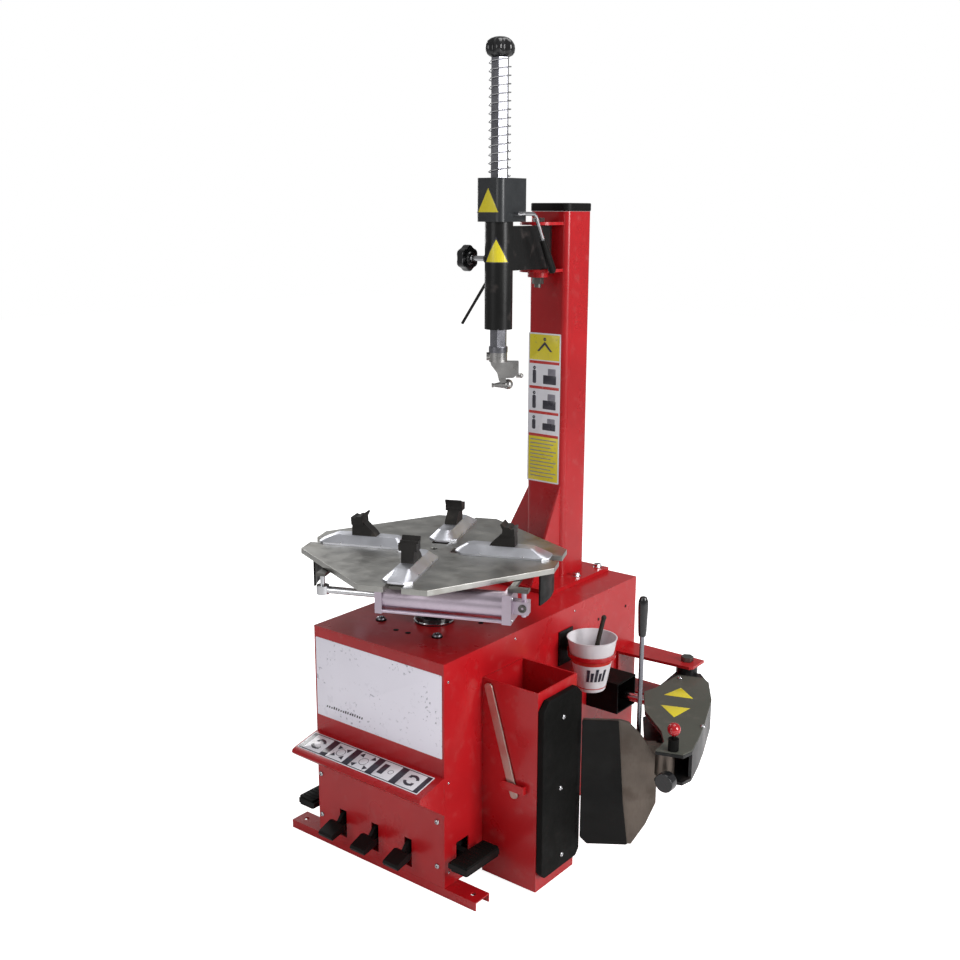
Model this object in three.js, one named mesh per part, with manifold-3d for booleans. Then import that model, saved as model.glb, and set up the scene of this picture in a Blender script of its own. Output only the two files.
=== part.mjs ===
// Swing-arm tyre changer, modelled in millimetres with +Z up.
// The turntable axis is x = 0, y = 0; the operator stands on the -Y side; the floor is z = 0.
// The finished group is moved sideways at the end so that its footprint is centred on the origin.

import * as THREE from 'three';
import { mergeVertices } from 'three/addons/utils/BufferGeometryUtils.js';
import Module from 'manifold-3d';

const wasm = await Module();
wasm.setup();

// ---------------------------------------------------------------- driving dimensions

const GAP = 0.3;              // clearance left between parts that touch
const ROUND = 24;             // sides of an ordinary turned part
const FINE = 32;              // sides of a large turned part

const SHEET = 4;              // cabinet sheet metal
const CAB_HALF = 217;         // half width of the cabinet
const CAB_FRONT = -221;
const CAB_BACK = 652;
const CAB_TOP = 608;
const CAB_FLOOR = 23.2;       // underside of the panels, on top of the rails

const RAIL_LEFT = -324;
const RAIL_RIGHT = 313;
const RAIL_DEPTH = 55;
const RAIL_HEIGHT = 22.9;
const RAIL_WALL = 3.5;

const TABLE_TOP = 801;
const TABLE_THICK = 14;
const TABLE_CORNER_R = 329.8; // distance from the axis to the four short sides
const TABLE_CORNER_HALF = 84.3;
const JAW_TURN = 23.5;        // direction of the right-hand jaw, degrees from +X
const SLOT_HALF = 22;
const SLOT_INNER = 48;
const HUB_R = 30;

const POST = { left: -60, right: 70, front: 480, back: 600, top: 1643, corner: 18 };
const PIN_X = 5;              // swing arm hinge pin
const PIN_Y = 435;
const PLATE_LOW = 1483;       // undersides of the two hinge plates on the post
const PLATE_HIGH = 1607;
const PLATE_THICK = 8;

const TOOL_X = 5;             // vertical tool shaft
const TOOL_Y = 259.5;
const HEX_FLATS = 41;
const HEX_LOW = 1281;
const HEX_HIGH = 2016;
const SLEEVE_R = 36.5;
const SLEEVE_LOW = 1342;
const COVER_LOW = 1616.3;
const COVER_HIGH = 1725;

const PEDAL_SHAFT_Y = -60;
const PEDAL_SHAFT_Z = 120;
const PEDAL_SHAFT_R = 8;
const FRONT_PEDALS_X = [-128, -15, 98];

const BREAKER_PIN_X = 414;    // hinge of the bead breaker arm
const BREAKER_PIN_Y = 612;
const BREAKER_LOW = 306;      // space between the lower and upper plates of the arm
const BREAKER_HIGH = 368;
const RAM_Y = 440;            // axis of the breaker ram
const RAM_Z = 337;
const BLADE_PIN_X = 606;
const BLADE_PIN_Y = 150;
const BLADE_EDGE = { x: 413, y: 80 };   // leading edge of the blade
const BLADE_TURN = 35;        // direction of the blade from +X, degrees

const BUCKET_X = 291;
const BUCKET_Y = 305;

// ---------------------------------------------------------------- materials

function material(colour, roughness, metalness) {
  return new THREE.MeshStandardMaterial({ color: colour, roughness, metalness });
}

const RED = material(0xb01c20, 0.35, 0.1);
const BLACK = material(0x161616, 0.45, 0.1);
const STEEL = material(0x8b8a84, 0.4, 0.9);
const CHROME = material(0xd0d0d2, 0.15, 1.0);
const ALUMINIUM = material(0xb9b4b8, 0.35, 0.9);
const IRON = material(0x55585a, 0.6, 0.6);
const RUBBER = material(0x121212, 0.8, 0.0);
const PLASTIC_BLACK = material(0x151515, 0.4, 0.0);
const PLASTIC_WHITE = material(0xe6e4e6, 0.4, 0.0);
const PLASTIC_RED = material(0xb00d12, 0.25, 0.0);
const OLIVE = material(0x4a4b43, 0.5, 0.1);
const MOTOR_GREY = material(0x6d7478, 0.5, 0.3);

// ---------------------------------------------------------------- solid helpers

function rad(degrees) {
  return (degrees * Math.PI) / 180;
}

function toSolid(geometry) {
  const bare = geometry.clone();
  bare.deleteAttribute('normal');
  bare.deleteAttribute('uv');
  const merged = mergeVertices(bare, 1e-4);
  const mesh = new wasm.Mesh({
    numProp: 3,
    vertProperties: new Float32Array(merged.attributes.position.array),
    triVerts: new Uint32Array(merged.index.array),
  });
  return new wasm.Manifold(mesh);
}

function toGeometry(solid) {
  const mesh = solid.getMesh();
  const geometry = new THREE.BufferGeometry();
  geometry.setAttribute('position', new THREE.BufferAttribute(new Float32Array(mesh.vertProperties), 3));
  geometry.setIndex(new THREE.BufferAttribute(new Uint32Array(mesh.triVerts), 1));
  return geometry;
}

function join(...geometries) {
  let solid = toSolid(geometries[0]);
  for (const other of geometries.slice(1)) {
    solid = solid.add(toSolid(other));
  }
  return toGeometry(solid);
}

function cut(base, ...tools) {
  let solid = toSolid(base);
  for (const tool of tools) {
    solid = solid.subtract(toSolid(tool));
  }
  return toGeometry(solid);
}

// Box between two opposite corners.
function block(x0, x1, y0, y1, z0, z1) {
  const geometry = new THREE.BoxGeometry(x1 - x0, y1 - y0, z1 - z0);
  return geometry.translate((x0 + x1) / 2, (y0 + y1) / 2, (z0 + z1) / 2);
}

// Outline in the XY plane pulled up from z0 to z1; `holes` are outlines as well.
function prism(points, z0, z1, holes = []) {
  const shape = new THREE.Shape(points.map(([x, y]) => new THREE.Vector2(x, y)));
  for (const hole of holes) {
    shape.holes.push(new THREE.Path(hole.map(([x, y]) => new THREE.Vector2(x, y))));
  }
  const geometry = new THREE.ExtrudeGeometry(shape, { depth: z1 - z0, bevelEnabled: false });
  return geometry.translate(0, 0, z0);
}

// Outline given as [y, z] pairs, pulled along X.
function prismX(points, x0, x1) {
  const geometry = prism(points, x0, x1);
  const turn = new THREE.Matrix4().makeBasis(
    new THREE.Vector3(0, 1, 0), new THREE.Vector3(0, 0, 1), new THREE.Vector3(1, 0, 0));
  return geometry.applyMatrix4(turn);
}

function circle(x, y, radius, sides = ROUND) {
  const points = [];
  for (let i = 0; i < sides; i += 1) {
    const angle = (2 * Math.PI * (i + 0.5)) / sides;
    points.push([x + radius * Math.cos(angle), y + radius * Math.sin(angle)]);
  }
  return points;
}

// Upright cylinder, optionally bored through.
function post(x, y, radius, z0, z1, bore = 0, sides = ROUND) {
  const holes = bore > 0 ? [circle(x, y, bore, sides)] : [];
  return prism(circle(x, y, radius, sides), z0, z1, holes);
}

// Round bar between two points.
function bar(radius, from, to, sides = ROUND) {
  const start = new THREE.Vector3(...from);
  const end = new THREE.Vector3(...to);
  const axis = end.clone().sub(start);
  const geometry = new THREE.CylinderGeometry(radius, radius, axis.length(), sides);
  const turn = new THREE.Quaternion().setFromUnitVectors(
    new THREE.Vector3(0, 1, 0), axis.clone().normalize());
  geometry.applyQuaternion(turn);
  const middle = start.clone().add(end).multiplyScalar(0.5);
  return geometry.translate(middle.x, middle.y, middle.z);
}

// Round bar that gets wider or narrower between two points.
function taper(radiusFrom, radiusTo, from, to, sides = ROUND) {
  const start = new THREE.Vector3(...from);
  const end = new THREE.Vector3(...to);
  const axis = end.clone().sub(start);
  const geometry = new THREE.CylinderGeometry(radiusTo, radiusFrom, axis.length(), sides);
  const turn = new THREE.Quaternion().setFromUnitVectors(
    new THREE.Vector3(0, 1, 0), axis.clone().normalize());
  geometry.applyQuaternion(turn);
  const middle = start.clone().add(end).multiplyScalar(0.5);
  return geometry.translate(middle.x, middle.y, middle.z);
}

function ball(radius, x, y, z, sides = 16) {
  return new THREE.SphereGeometry(radius, sides, sides / 2).translate(x, y, z);
}

// Turned part: [radius, height] profile about an upright axis through (x, y).
function turned(profile, x, y, sides = ROUND) {
  const points = profile.map(([r, z]) => new THREE.Vector2(r, z));
  const geometry = new THREE.LatheGeometry(points, sides);
  geometry.rotateX(Math.PI / 2);
  return geometry.translate(x, y, 0);
}

// Hand-wheel outline with rounded lobes.
function lobed(radius, depth, lobes, perLobe = 5) {
  const points = [];
  const count = lobes * perLobe;
  for (let i = 0; i < count; i += 1) {
    const angle = (2 * Math.PI * i) / count;
    const r = radius - depth * (0.5 - 0.5 * Math.cos(lobes * angle));
    points.push([r * Math.cos(angle), r * Math.sin(angle)]);
  }
  return points;
}

// Rectangle with rounded corners.
function roundedRectangle(x0, x1, y0, y1, radius, steps = 4) {
  const points = [];
  const corners = [
    [x1 - radius, y1 - radius, 0], [x0 + radius, y1 - radius, 90],
    [x0 + radius, y0 + radius, 180], [x1 - radius, y0 + radius, 270],
  ];
  for (const [cx, cy, start] of corners) {
    for (let i = 0; i <= steps; i += 1) {
      const angle = rad(start + (90 * i) / steps);
      points.push([cx + radius * Math.cos(angle), cy + radius * Math.sin(angle)]);
    }
  }
  return points;
}

function hexagon(x, y, flats) {
  const points = [];
  for (let i = 0; i < 6; i += 1) {
    const angle = rad(60 * i);
    const r = flats / 2 / Math.cos(rad(30));
    points.push([x + r * Math.cos(angle), y + r * Math.sin(angle)]);
  }
  return points;
}

// Turns a geometry about the upright axis through (x, y).
function spin(geometry, degrees, x = 0, y = 0) {
  geometry.translate(-x, -y, 0);
  geometry.rotateZ(rad(degrees));
  return geometry.translate(x, y, 0);
}

const machine = new THREE.Group();
machine.name = 'tire_changer';

function add(name, geometry, surface) {
  const mesh = new THREE.Mesh(geometry, surface);
  mesh.name = name;
  machine.add(mesh);
  return mesh;
}

// ---------------------------------------------------------------- cabinet and rails

// Open-bottomed channel lying across the machine.
function rail(front) {
  const back = front + RAIL_DEPTH;
  const body = block(RAIL_LEFT, RAIL_RIGHT, front, back, 0, RAIL_HEIGHT);
  const inside = block(RAIL_LEFT - 1, RAIL_RIGHT + 1, front + RAIL_WALL, back - RAIL_WALL,
    -1, RAIL_HEIGHT - RAIL_WALL);
  const middle = front + RAIL_DEPTH / 2;
  const anchors = [RAIL_LEFT + 28, RAIL_RIGHT - 28].map(
    (x) => post(x, middle, 7, -1, RAIL_HEIGHT + 1, 0, 12));
  return cut(body, inside, ...anchors);
}

// Both rails are welded under the floor plate.
const innerHalf = CAB_HALF - SHEET - GAP;
const floorPlate = block(-innerHalf, innerHalf, CAB_FRONT + SHEET + GAP, CAB_BACK - SHEET - GAP,
  RAIL_HEIGHT - 0.1, CAB_FLOOR + SHEET);
add('base_frame', join(rail(CAB_FRONT), rail(CAB_BACK - RAIL_DEPTH), floorPlate), RED);

// Front panel with one tall slot for each front pedal and a folded hood above them.
const PEDAL_SLOT = { half: 12, low: 42, high: 118 };
const frontSlots = FRONT_PEDALS_X.map((x) => block(
  x - PEDAL_SLOT.half, x + PEDAL_SLOT.half, CAB_FRONT - 1, CAB_FRONT + SHEET + 1,
  PEDAL_SLOT.low, PEDAL_SLOT.high));
const frontPanel = block(-innerHalf, innerHalf, CAB_FRONT, CAB_FRONT + SHEET,
  CAB_FLOOR, CAB_TOP - SHEET - GAP);
const HOOD_PROFILE = [[-220, 319], [-299, 301], [-309, 297], [-312, 290], [-307, 284], [-220, 219]];
const HOOD_INSIDE = [[-221, 315], [-298, 297.5], [-306, 294.5], [-308.5, 290], [-305, 287], [-221, 223]];
const hood = cut(
  prismX(HOOD_PROFILE, -CAB_HALF, CAB_HALF),
  prismX(HOOD_INSIDE, -CAB_HALF + 3, CAB_HALF - 3),
  block(-CAB_HALF - 1, -innerHalf, CAB_FRONT - GAP, CAB_FRONT + 5, 200, 340),
  block(innerHalf, CAB_HALF + 1, CAB_FRONT - GAP, CAB_FRONT + 5, 200, 340));
const hoodVent = block(-60, 60, CAB_FRONT - 1, CAB_FRONT + SHEET + 1, 240, 300);
add('front_panel', cut(join(frontPanel, hood), hoodVent, ...frontSlots), RED);

// Side panels with a slot for the side pedal; the right one also lets the breaker rod out.
const SIDE_SLOT = { front: -176, back: -128, low: 62, high: 128 };

function sidePanel(side, top, ...extraHoles) {
  const x0 = side > 0 ? CAB_HALF - SHEET : -CAB_HALF;
  const panel = block(x0, x0 + SHEET, CAB_FRONT, CAB_BACK, CAB_FLOOR, top);
  const slot = block(x0 - 1, x0 + SHEET + 1, SIDE_SLOT.front, SIDE_SLOT.back,
    SIDE_SLOT.low, SIDE_SLOT.high);
  return cut(panel, slot, ...extraHoles);
}

add('left_panel', sidePanel(-1, CAB_TOP - SHEET - GAP), RED);

// Welded shell: right side, rear and top.
const rodHole = block(CAB_HALF - SHEET - 1, CAB_HALF + 1, RAM_Y - 18, RAM_Y + 34, RAM_Z - 18, RAM_Z + 18);
const rearPanel = block(-innerHalf, CAB_HALF - 1, CAB_BACK - SHEET, CAB_BACK, CAB_FLOOR, CAB_TOP - 1);
const topPlate = cut(
  block(-CAB_HALF, CAB_HALF, CAB_FRONT, CAB_BACK, CAB_TOP - SHEET, CAB_TOP),
  post(0, 0, 52, CAB_TOP - SHEET - 1, CAB_TOP + 1, 0, FINE));
add('cabinet_shell', join(sidePanel(1, CAB_TOP - 1, rodHole), rearPanel, topPlate), RED);

// ---------------------------------------------------------------- tyre support on the right side

const SUPPORT = { x0: CAB_HALF + GAP, x1: 384, y0: -73, y1: 92, z0: 5, z1: 530, wall: 4 };
const supportBox = cut(
  block(SUPPORT.x0, SUPPORT.x1, SUPPORT.y0, SUPPORT.y1, SUPPORT.z0, SUPPORT.z1),
  block(SUPPORT.x0 + SUPPORT.wall, SUPPORT.x1 - SUPPORT.wall, SUPPORT.y0 + SUPPORT.wall,
    SUPPORT.y1 - SUPPORT.wall, SUPPORT.z0 + SUPPORT.wall, SUPPORT.z1 + 1));
const leverHook = cut(
  block(288, 354, SUPPORT.y0 - 14, SUPPORT.y0 + 1, 262, 282),
  block(292, 350, SUPPORT.y0 - 10, SUPPORT.y0 - 0.01, 261, 283));
add('tyre_support', join(supportBox, leverHook), RED);

const PAD = { x0: SUPPORT.x1 + GAP, x1: SUPPORT.x1 + 18, z0: 44, z1: 508 };
const padOutline = [
  [SUPPORT.y0, PAD.z0 + 16], [SUPPORT.y0 + 14, PAD.z0], [SUPPORT.y1 - 14, PAD.z0], [SUPPORT.y1, PAD.z0 + 16],
  [SUPPORT.y1, PAD.z1 - 22], [SUPPORT.y1 - 22, PAD.z1], [SUPPORT.y0 + 22, PAD.z1], [SUPPORT.y0, PAD.z1 - 22],
];
add('tyre_pad', prismX(padOutline, PAD.x0, PAD.x1), RUBBER);

// Flat steel tyre lever hanging in the hook on the front of the support.
const leverAxis = { x0: 236, z0: 521, x1: 322, z1: 240 };
const leverLength = Math.hypot(leverAxis.x1 - leverAxis.x0, leverAxis.z1 - leverAxis.z0);
const leverBar = prism(roundedRectangle(-12, 12, 0, leverLength, 11), 0, 5);
leverBar.rotateX(Math.PI / 2);
leverBar.rotateY(Math.atan2(leverAxis.x0 - leverAxis.x1, leverAxis.z0 - leverAxis.z1));
leverBar.translate(leverAxis.x1, SUPPORT.y0 - 1.5, leverAxis.z1);
add('tyre_lever', leverBar, CHROME);

// ---------------------------------------------------------------- post, cap and hinge plates

const BASE = { x0: -195, x1: 126, y0: 345, y1: 645, z0: CAB_TOP + GAP, z1: 620 };
const column = prism(
  roundedRectangle(POST.left, POST.right, POST.front, POST.back, POST.corner, 4), BASE.z1 - 1, POST.top);
const postFoot = block(BASE.x0, BASE.x1, BASE.y0, BASE.y1, BASE.z0, BASE.z1);
const frontGusset = prismX([[POST.front + 2, 888], [348, 622], [348, 619], [POST.front + 2, 619]], 52, 60);
// Gusset on the left face of the column, standing in the plane of the front face.
function sideGusset() {
  const outline = new THREE.Shape([
    new THREE.Vector2(POST.left + 2, 878), new THREE.Vector2(-190, 622),
    new THREE.Vector2(-190, 619), new THREE.Vector2(POST.left + 2, 619),
  ]);
  const geometry = new THREE.ExtrudeGeometry(outline, { depth: 8, bevelEnabled: false });
  geometry.rotateX(Math.PI / 2);
  return geometry.translate(0, POST.front + 20 + 8, 0);
}

const capTop = POST.top + 22;
add('post_cap', prism(roundedRectangle(POST.left - 2, POST.right + 2, POST.front - 2, POST.back + 2,
  POST.corner + 2, 4), POST.top + GAP, capTop), PLASTIC_BLACK);

// Plate welded to the front of the column, rounded around the hinge pin.
function hingePlate(z0) {
  const half = 50;
  const points = [[PIN_X + half, POST.front + 1], [PIN_X - half, POST.front + 1]];
  for (let i = 0; i <= 10; i += 1) {
    const angle = rad(180 + 18 * i);
    points.push([PIN_X + half * Math.cos(angle), PIN_Y + half * Math.sin(angle)]);
  }
  return prism(points, z0, z0 + PLATE_THICK, [circle(PIN_X, PIN_Y, 11.5, 16)]);
}

const hingeBoss = post(PIN_X, PIN_Y, 28, PLATE_LOW - 14, PLATE_LOW + 1, 11.5, 16);
add('post', join(column, postFoot, frontGusset, sideGusset(), hingePlate(PLATE_LOW), hingeBoss,
  hingePlate(PLATE_HIGH)), RED);

// ---------------------------------------------------------------- swing arm

const ARM_LOW = PLATE_LOW + PLATE_THICK + 2;
const ARM_HIGH = PLATE_HIGH - 2;
const ARM_HALF = 36;
const armOutline = [[TOOL_X + ARM_HALF, TOOL_Y], [TOOL_X + ARM_HALF, PIN_Y]];
for (let i = 1; i < 8; i += 1) {
  const angle = rad((180 * i) / 8);
  armOutline.push([PIN_X + ARM_HALF * Math.cos(angle), PIN_Y + ARM_HALF * Math.sin(angle)]);
}
armOutline.push([TOOL_X - ARM_HALF, PIN_Y], [TOOL_X - ARM_HALF, TOOL_Y]);
const armBeam = prism(armOutline, ARM_LOW, ARM_HIGH);
const sleeve = post(TOOL_X, TOOL_Y, SLEEVE_R, SLEEVE_LOW, COVER_LOW - GAP, 0, FINE);
const grabRod = bar(4, [TOOL_X - 30, TOOL_Y, 1476], [TOOL_X - 122, TOOL_Y, 1349], 12);
const sideScrewBoss = bar(12, [TOOL_X - 30, TOOL_Y, 1522], [TOOL_X - 42, TOOL_Y, 1522], 16);
const swingArm = cut(
  join(armBeam, sleeve, grabRod, sideScrewBoss),
  prism(hexagon(TOOL_X, TOOL_Y, HEX_FLATS + 1.4), SLEEVE_LOW - 1, COVER_LOW + 1),
  post(PIN_X, PIN_Y, 11.5, ARM_LOW - 1, ARM_HIGH + 1, 0, 16));
add('swing_arm', swingArm, BLACK);

const pinShaft = post(PIN_X, PIN_Y, 11, PLATE_LOW - 16, PLATE_HIGH + PLATE_THICK + 2, 0, 16);
const pinHead = post(PIN_X, PIN_Y, 16, PLATE_HIGH + PLATE_THICK + GAP, PLATE_HIGH + PLATE_THICK + 11, 0, 6);
const pinNut = post(PIN_X, PIN_Y, 16, PLATE_LOW - 32, PLATE_LOW - 14 - GAP, 0, 6);
const pinEnd = post(PIN_X, PIN_Y, 9, PLATE_LOW - 42, PLATE_LOW - 31, 0, 16);
add('arm_pin', join(pinShaft, pinHead, pinNut, pinEnd), STEEL);

// Housing over the hexagon lock, on top of the arm.
const HOUSING_RIGHT = TOOL_X + 42;
const housing = prism(
  roundedRectangle(TOOL_X - 44, HOUSING_RIGHT, TOOL_Y - 46, TOOL_Y + 72, 18, 4), COVER_LOW, COVER_HIGH);
add('lock_cover', cut(housing,
  post(TOOL_X, TOOL_Y, 25, COVER_LOW - 1, COVER_HIGH + 1)), PLASTIC_BLACK);

// Lock lever on the right side of the housing: bent rod and hand grip.
const LEVER_X = TOOL_X + 64;
const leverPoints = [
  [HOUSING_RIGHT + GAP, 270, 1636], [LEVER_X - 8, 270, 1636], [LEVER_X, 278, 1637],
  [LEVER_X, 322, 1636], [LEVER_X, 334, 1628], [LEVER_X, 372, 1556],
];
const leverPieces = [];
for (let i = 0; i + 1 < leverPoints.length; i += 1) {
  leverPieces.push(bar(5, leverPoints[i], leverPoints[i + 1], 8));
  leverPieces.push(ball(5, ...leverPoints[i + 1], 8));
}
const gripEnd = [LEVER_X, 409, 1492];
leverPieces.push(taper(8.5, 11, [LEVER_X, 364, 1571], gripEnd, 16), ball(11, ...gripEnd));
add('lock_lever', join(...leverPieces), CHROME);

// Clamping hand wheel on the left of the sleeve.
const sideWheel = prism(lobed(35, 5, 6), 0, 22);
sideWheel.rotateY(-Math.PI / 2);
sideWheel.translate(TOOL_X - 94, TOOL_Y, 1522);
add('side_knob', join(
  sideWheel,
  bar(16, [TOOL_X - 88, TOOL_Y, 1522], [TOOL_X - 96, TOOL_Y, 1522], 16),
  bar(7, [TOOL_X - 42 - GAP, TOOL_Y, 1522], [TOOL_X - 90, TOOL_Y, 1522], 16)), PLASTIC_BLACK);

// ---------------------------------------------------------------- vertical tool shaft

const hexBar = prism(hexagon(TOOL_X, TOOL_Y, HEX_FLATS), HEX_LOW + 14, HEX_HIGH);
const hexRing = post(TOOL_X, TOOL_Y, 25, HEX_LOW, HEX_LOW + 15);
add('hex_shaft', join(hexBar, hexRing), CHROME);

const topWheel = prism(lobed(39, 6, 7), HEX_HIGH + GAP, HEX_HIGH + 50);
spin(topWheel, 12);
topWheel.translate(TOOL_X, TOOL_Y, 0);
add('top_knob', topWheel, PLASTIC_BLACK);

// Return spring between the housing and the top knob.
class Helix extends THREE.Curve {
  constructor(radius, z0, z1, turns) {
    super();
    Object.assign(this, { radius, z0, z1, turns });
  }

  getPoint(t, target = new THREE.Vector3()) {
    const angle = 2 * Math.PI * this.turns * t;
    return target.set(this.radius * Math.cos(angle), this.radius * Math.sin(angle),
      this.z0 + (this.z1 - this.z0) * t);
  }
}

const SPRING_TURNS = 14;
const wireOutline = new THREE.Shape(circle(0, 0, 1.6, 5).map(([x, y]) => new THREE.Vector2(x, y)));
const springGeometry = new THREE.ExtrudeGeometry(wireOutline, {
  steps: SPRING_TURNS * 10,
  extrudePath: new Helix(27.4, COVER_HIGH + 2, HEX_HIGH - 2, SPRING_TURNS),
  bevelEnabled: false,
});
springGeometry.translate(TOOL_X, TOOL_Y, 0);
add('shaft_spring', springGeometry, STEEL);

// Mount head: clamping collar, curved shoe, thin nose to the left and a nub to the right.
// `r` runs to the right of the operator's view of the head, `z` is height.
const HEAD_TURN = 38.2;
const headOutline = new THREE.Shape([
  [-21, 1257], [54, 1257], [54, 1226], [40, 1215], [20, 1214], [22, 1204], [8, 1200], [2, 1208], [-3, 1228],
  [-19, 1249],
].map(([r, z]) => new THREE.Vector2(r, z)));
const headBody = new THREE.ExtrudeGeometry(headOutline, { depth: 34, bevelEnabled: false });
headBody.rotateX(Math.PI / 2);
headBody.translate(0, 17, 0);
const headParts = join(
  headBody,
  post(0, 0, 24, 1256, HEX_LOW - GAP),
  bar(11, [-14, 0, 1270], [-31, 0, 1270], 12),
  ball(14, 26, 0, 1196),
  taper(11, 4, [22, 0, 1195], [-14, 0, 1193], 16),
  bar(6, [-12, 0, 1193], [-17, 0, 1193], 12),
  bar(5.5, [48, 0, 1219], [60, 0, 1219], 12),
  ball(6.5, 61, 0, 1219, 12));
spin(headParts, HEAD_TURN);
headParts.translate(TOOL_X, TOOL_Y, 0);
add('mount_head', headParts, CHROME);

// ---------------------------------------------------------------- turntable

const tableOutline = [];
for (let i = 0; i < 4; i += 1) {
  for (const side of [-1, 1]) {
    const angle = rad(JAW_TURN + 90 * i);
    const radial = [Math.cos(angle), Math.sin(angle)];
    const across = [-Math.sin(angle), Math.cos(angle)];
    tableOutline.push([
      TABLE_CORNER_R * radial[0] + side * TABLE_CORNER_HALF * across[0],
      TABLE_CORNER_R * radial[1] + side * TABLE_CORNER_HALF * across[1],
    ]);
  }
}
const TABLE_LOW = TABLE_TOP - TABLE_THICK;
let tablePlate = prism(tableOutline, TABLE_LOW, TABLE_TOP, [circle(0, 0, 9, 16)]);
for (let i = 0; i < 4; i += 1) {
  const slot = block(SLOT_INNER, TABLE_CORNER_R + 5, -SLOT_HALF, SLOT_HALF, TABLE_LOW - 1, TABLE_TOP + 1);
  tablePlate = cut(tablePlate, spin(slot, JAW_TURN + 90 * i));
}
add('turntable', tablePlate, STEEL);

// Hub: flange under the plate, shaft down into the gearbox, dust flange above the cabinet.
const SHAFT_LOW = 530;
add('table_hub', turned([
  [0, SHAFT_LOW], [HUB_R, SHAFT_LOW], [HUB_R, CAB_TOP + 2], [48, CAB_TOP + 2], [50, CAB_TOP + 5],
  [50, CAB_TOP + 17], [HUB_R, CAB_TOP + 20], [HUB_R, TABLE_LOW - 8], [44, TABLE_LOW - 8],
  [44, TABLE_LOW - GAP], [0, TABLE_LOW - GAP],
], 0, 0), BLACK);

// Curved guards hanging under the table rim, one at each end of the clamp cylinders' run.
function guard(centre) {
  const outer = [];
  const inner = [];
  for (let i = 0; i <= 8; i += 1) {
    const angle = rad(centre - 16 + (32 * i) / 8);
    outer.push([309 * Math.cos(angle), 309 * Math.sin(angle)]);
    inner.unshift([304 * Math.cos(angle), 304 * Math.sin(angle)]);
  }
  return prism([...outer, ...inner], TABLE_LOW - 85, TABLE_LOW - GAP);
}

add('guard_left', guard(JAW_TURN + 180), PLASTIC_BLACK);
add('guard_right', guard(JAW_TURN), PLASTIC_BLACK);

// Star plate that ties the four slides together, with one arm per link.
const STAR_R = 62;
const STAR_LOW = 754;
const LINK_LOW = 760.4;
const STAR_LEAD = 80;         // star pins run this far ahead of their slides, degrees
let starPlate = post(0, 0, 50, STAR_LOW, STAR_LOW + 6, HUB_R + 0.6);
for (let i = 0; i < 4; i += 1) {
  const lobe = join(block(35, STAR_R, -9, 9, STAR_LOW, STAR_LOW + 6), post(STAR_R, 0, 10, STAR_LOW, STAR_LOW + 6, 0, 12));
  spin(lobe, JAW_TURN + STAR_LEAD + 90 * i);
  starPlate = join(starPlate, lobe);
}
const starHoles = [];
for (let i = 0; i < 4; i += 1) {
  starHoles.push(spin(post(STAR_R, 0, 4.5, STAR_LOW - 1, STAR_LOW + 7, 0, 12), JAW_TURN + STAR_LEAD + 90 * i));
}
add('star_plate', cut(starPlate, ...starHoles), STEEL);

// Slides: carriage under the plate, neck in the slot, bevelled cover on top.
const COVER_INNER = 61;
const COVER_OUTER = 305;
const COVER_HALF = 37;
const COVER_RISE = 24;
const SLIDE_PIN_R = 105;

function slideCover() {
  const z0 = TABLE_TOP + GAP;
  const z1 = z0 + COVER_RISE;
  const lower = [
    [COVER_INNER, -14], [COVER_INNER + 22, -COVER_HALF], [COVER_OUTER - 16, -COVER_HALF], [COVER_OUTER, -20],
    [COVER_OUTER, 20], [COVER_OUTER - 16, COVER_HALF], [COVER_INNER + 22, COVER_HALF], [COVER_INNER, 14],
  ];
  const upper = [
    [COVER_INNER + 30, -8], [COVER_INNER + 40, -18], [COVER_OUTER - 50, -18], [COVER_OUTER - 42, -12],
    [COVER_OUTER - 42, 12], [COVER_OUTER - 50, 18], [COVER_INNER + 40, 18], [COVER_INNER + 30, 8],
  ];
  return loft(lower, z0, z0 + 5, upper, z1);
}

// Straight band from z0 to zBreak, then sloping sides up to a smaller outline at z1.
function loft(lower, z0, zBreak, upper, z1) {
  const count = lower.length;
  const rings = [[lower, z0], [lower, zBreak], [upper, z1]];
  const positions = [];
  for (const [outline, z] of rings) {
    for (const [x, y] of outline) {
      positions.push(x, y, z);
    }
  }
  const index = [];
  for (let ring = 0; ring < 2; ring += 1) {
    for (let i = 0; i < count; i += 1) {
      const a = ring * count + i;
      const b = ring * count + ((i + 1) % count);
      index.push(a, b, b + count, a, b + count, a + count);
    }
  }
  for (let i = 1; i + 1 < count; i += 1) {
    index.push(0, i + 1, i);
    index.push(2 * count, 2 * count + i, 2 * count + i + 1);
  }
  const geometry = new THREE.BufferGeometry();
  geometry.setAttribute('position', new THREE.Float32BufferAttribute(positions, 3));
  geometry.setIndex(index);
  geometry.setAttribute('normal', new THREE.Float32BufferAttribute(positions.slice(), 3));
  geometry.setAttribute('uv', new THREE.Float32BufferAttribute(positions.slice(0, (positions.length / 3) * 2), 2));
  return geometry;
}

const CLAMP_Z = 742;          // axis of the two clamp cylinders
const CLAMP_SIDE = 215;       // distance of each cylinder from the turntable axis
const CLEVIS_R = 285;         // cylinder clevis pin, measured along the slide direction
const EYE_R = 218;            // rod eye pin on the opposite slide

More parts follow.
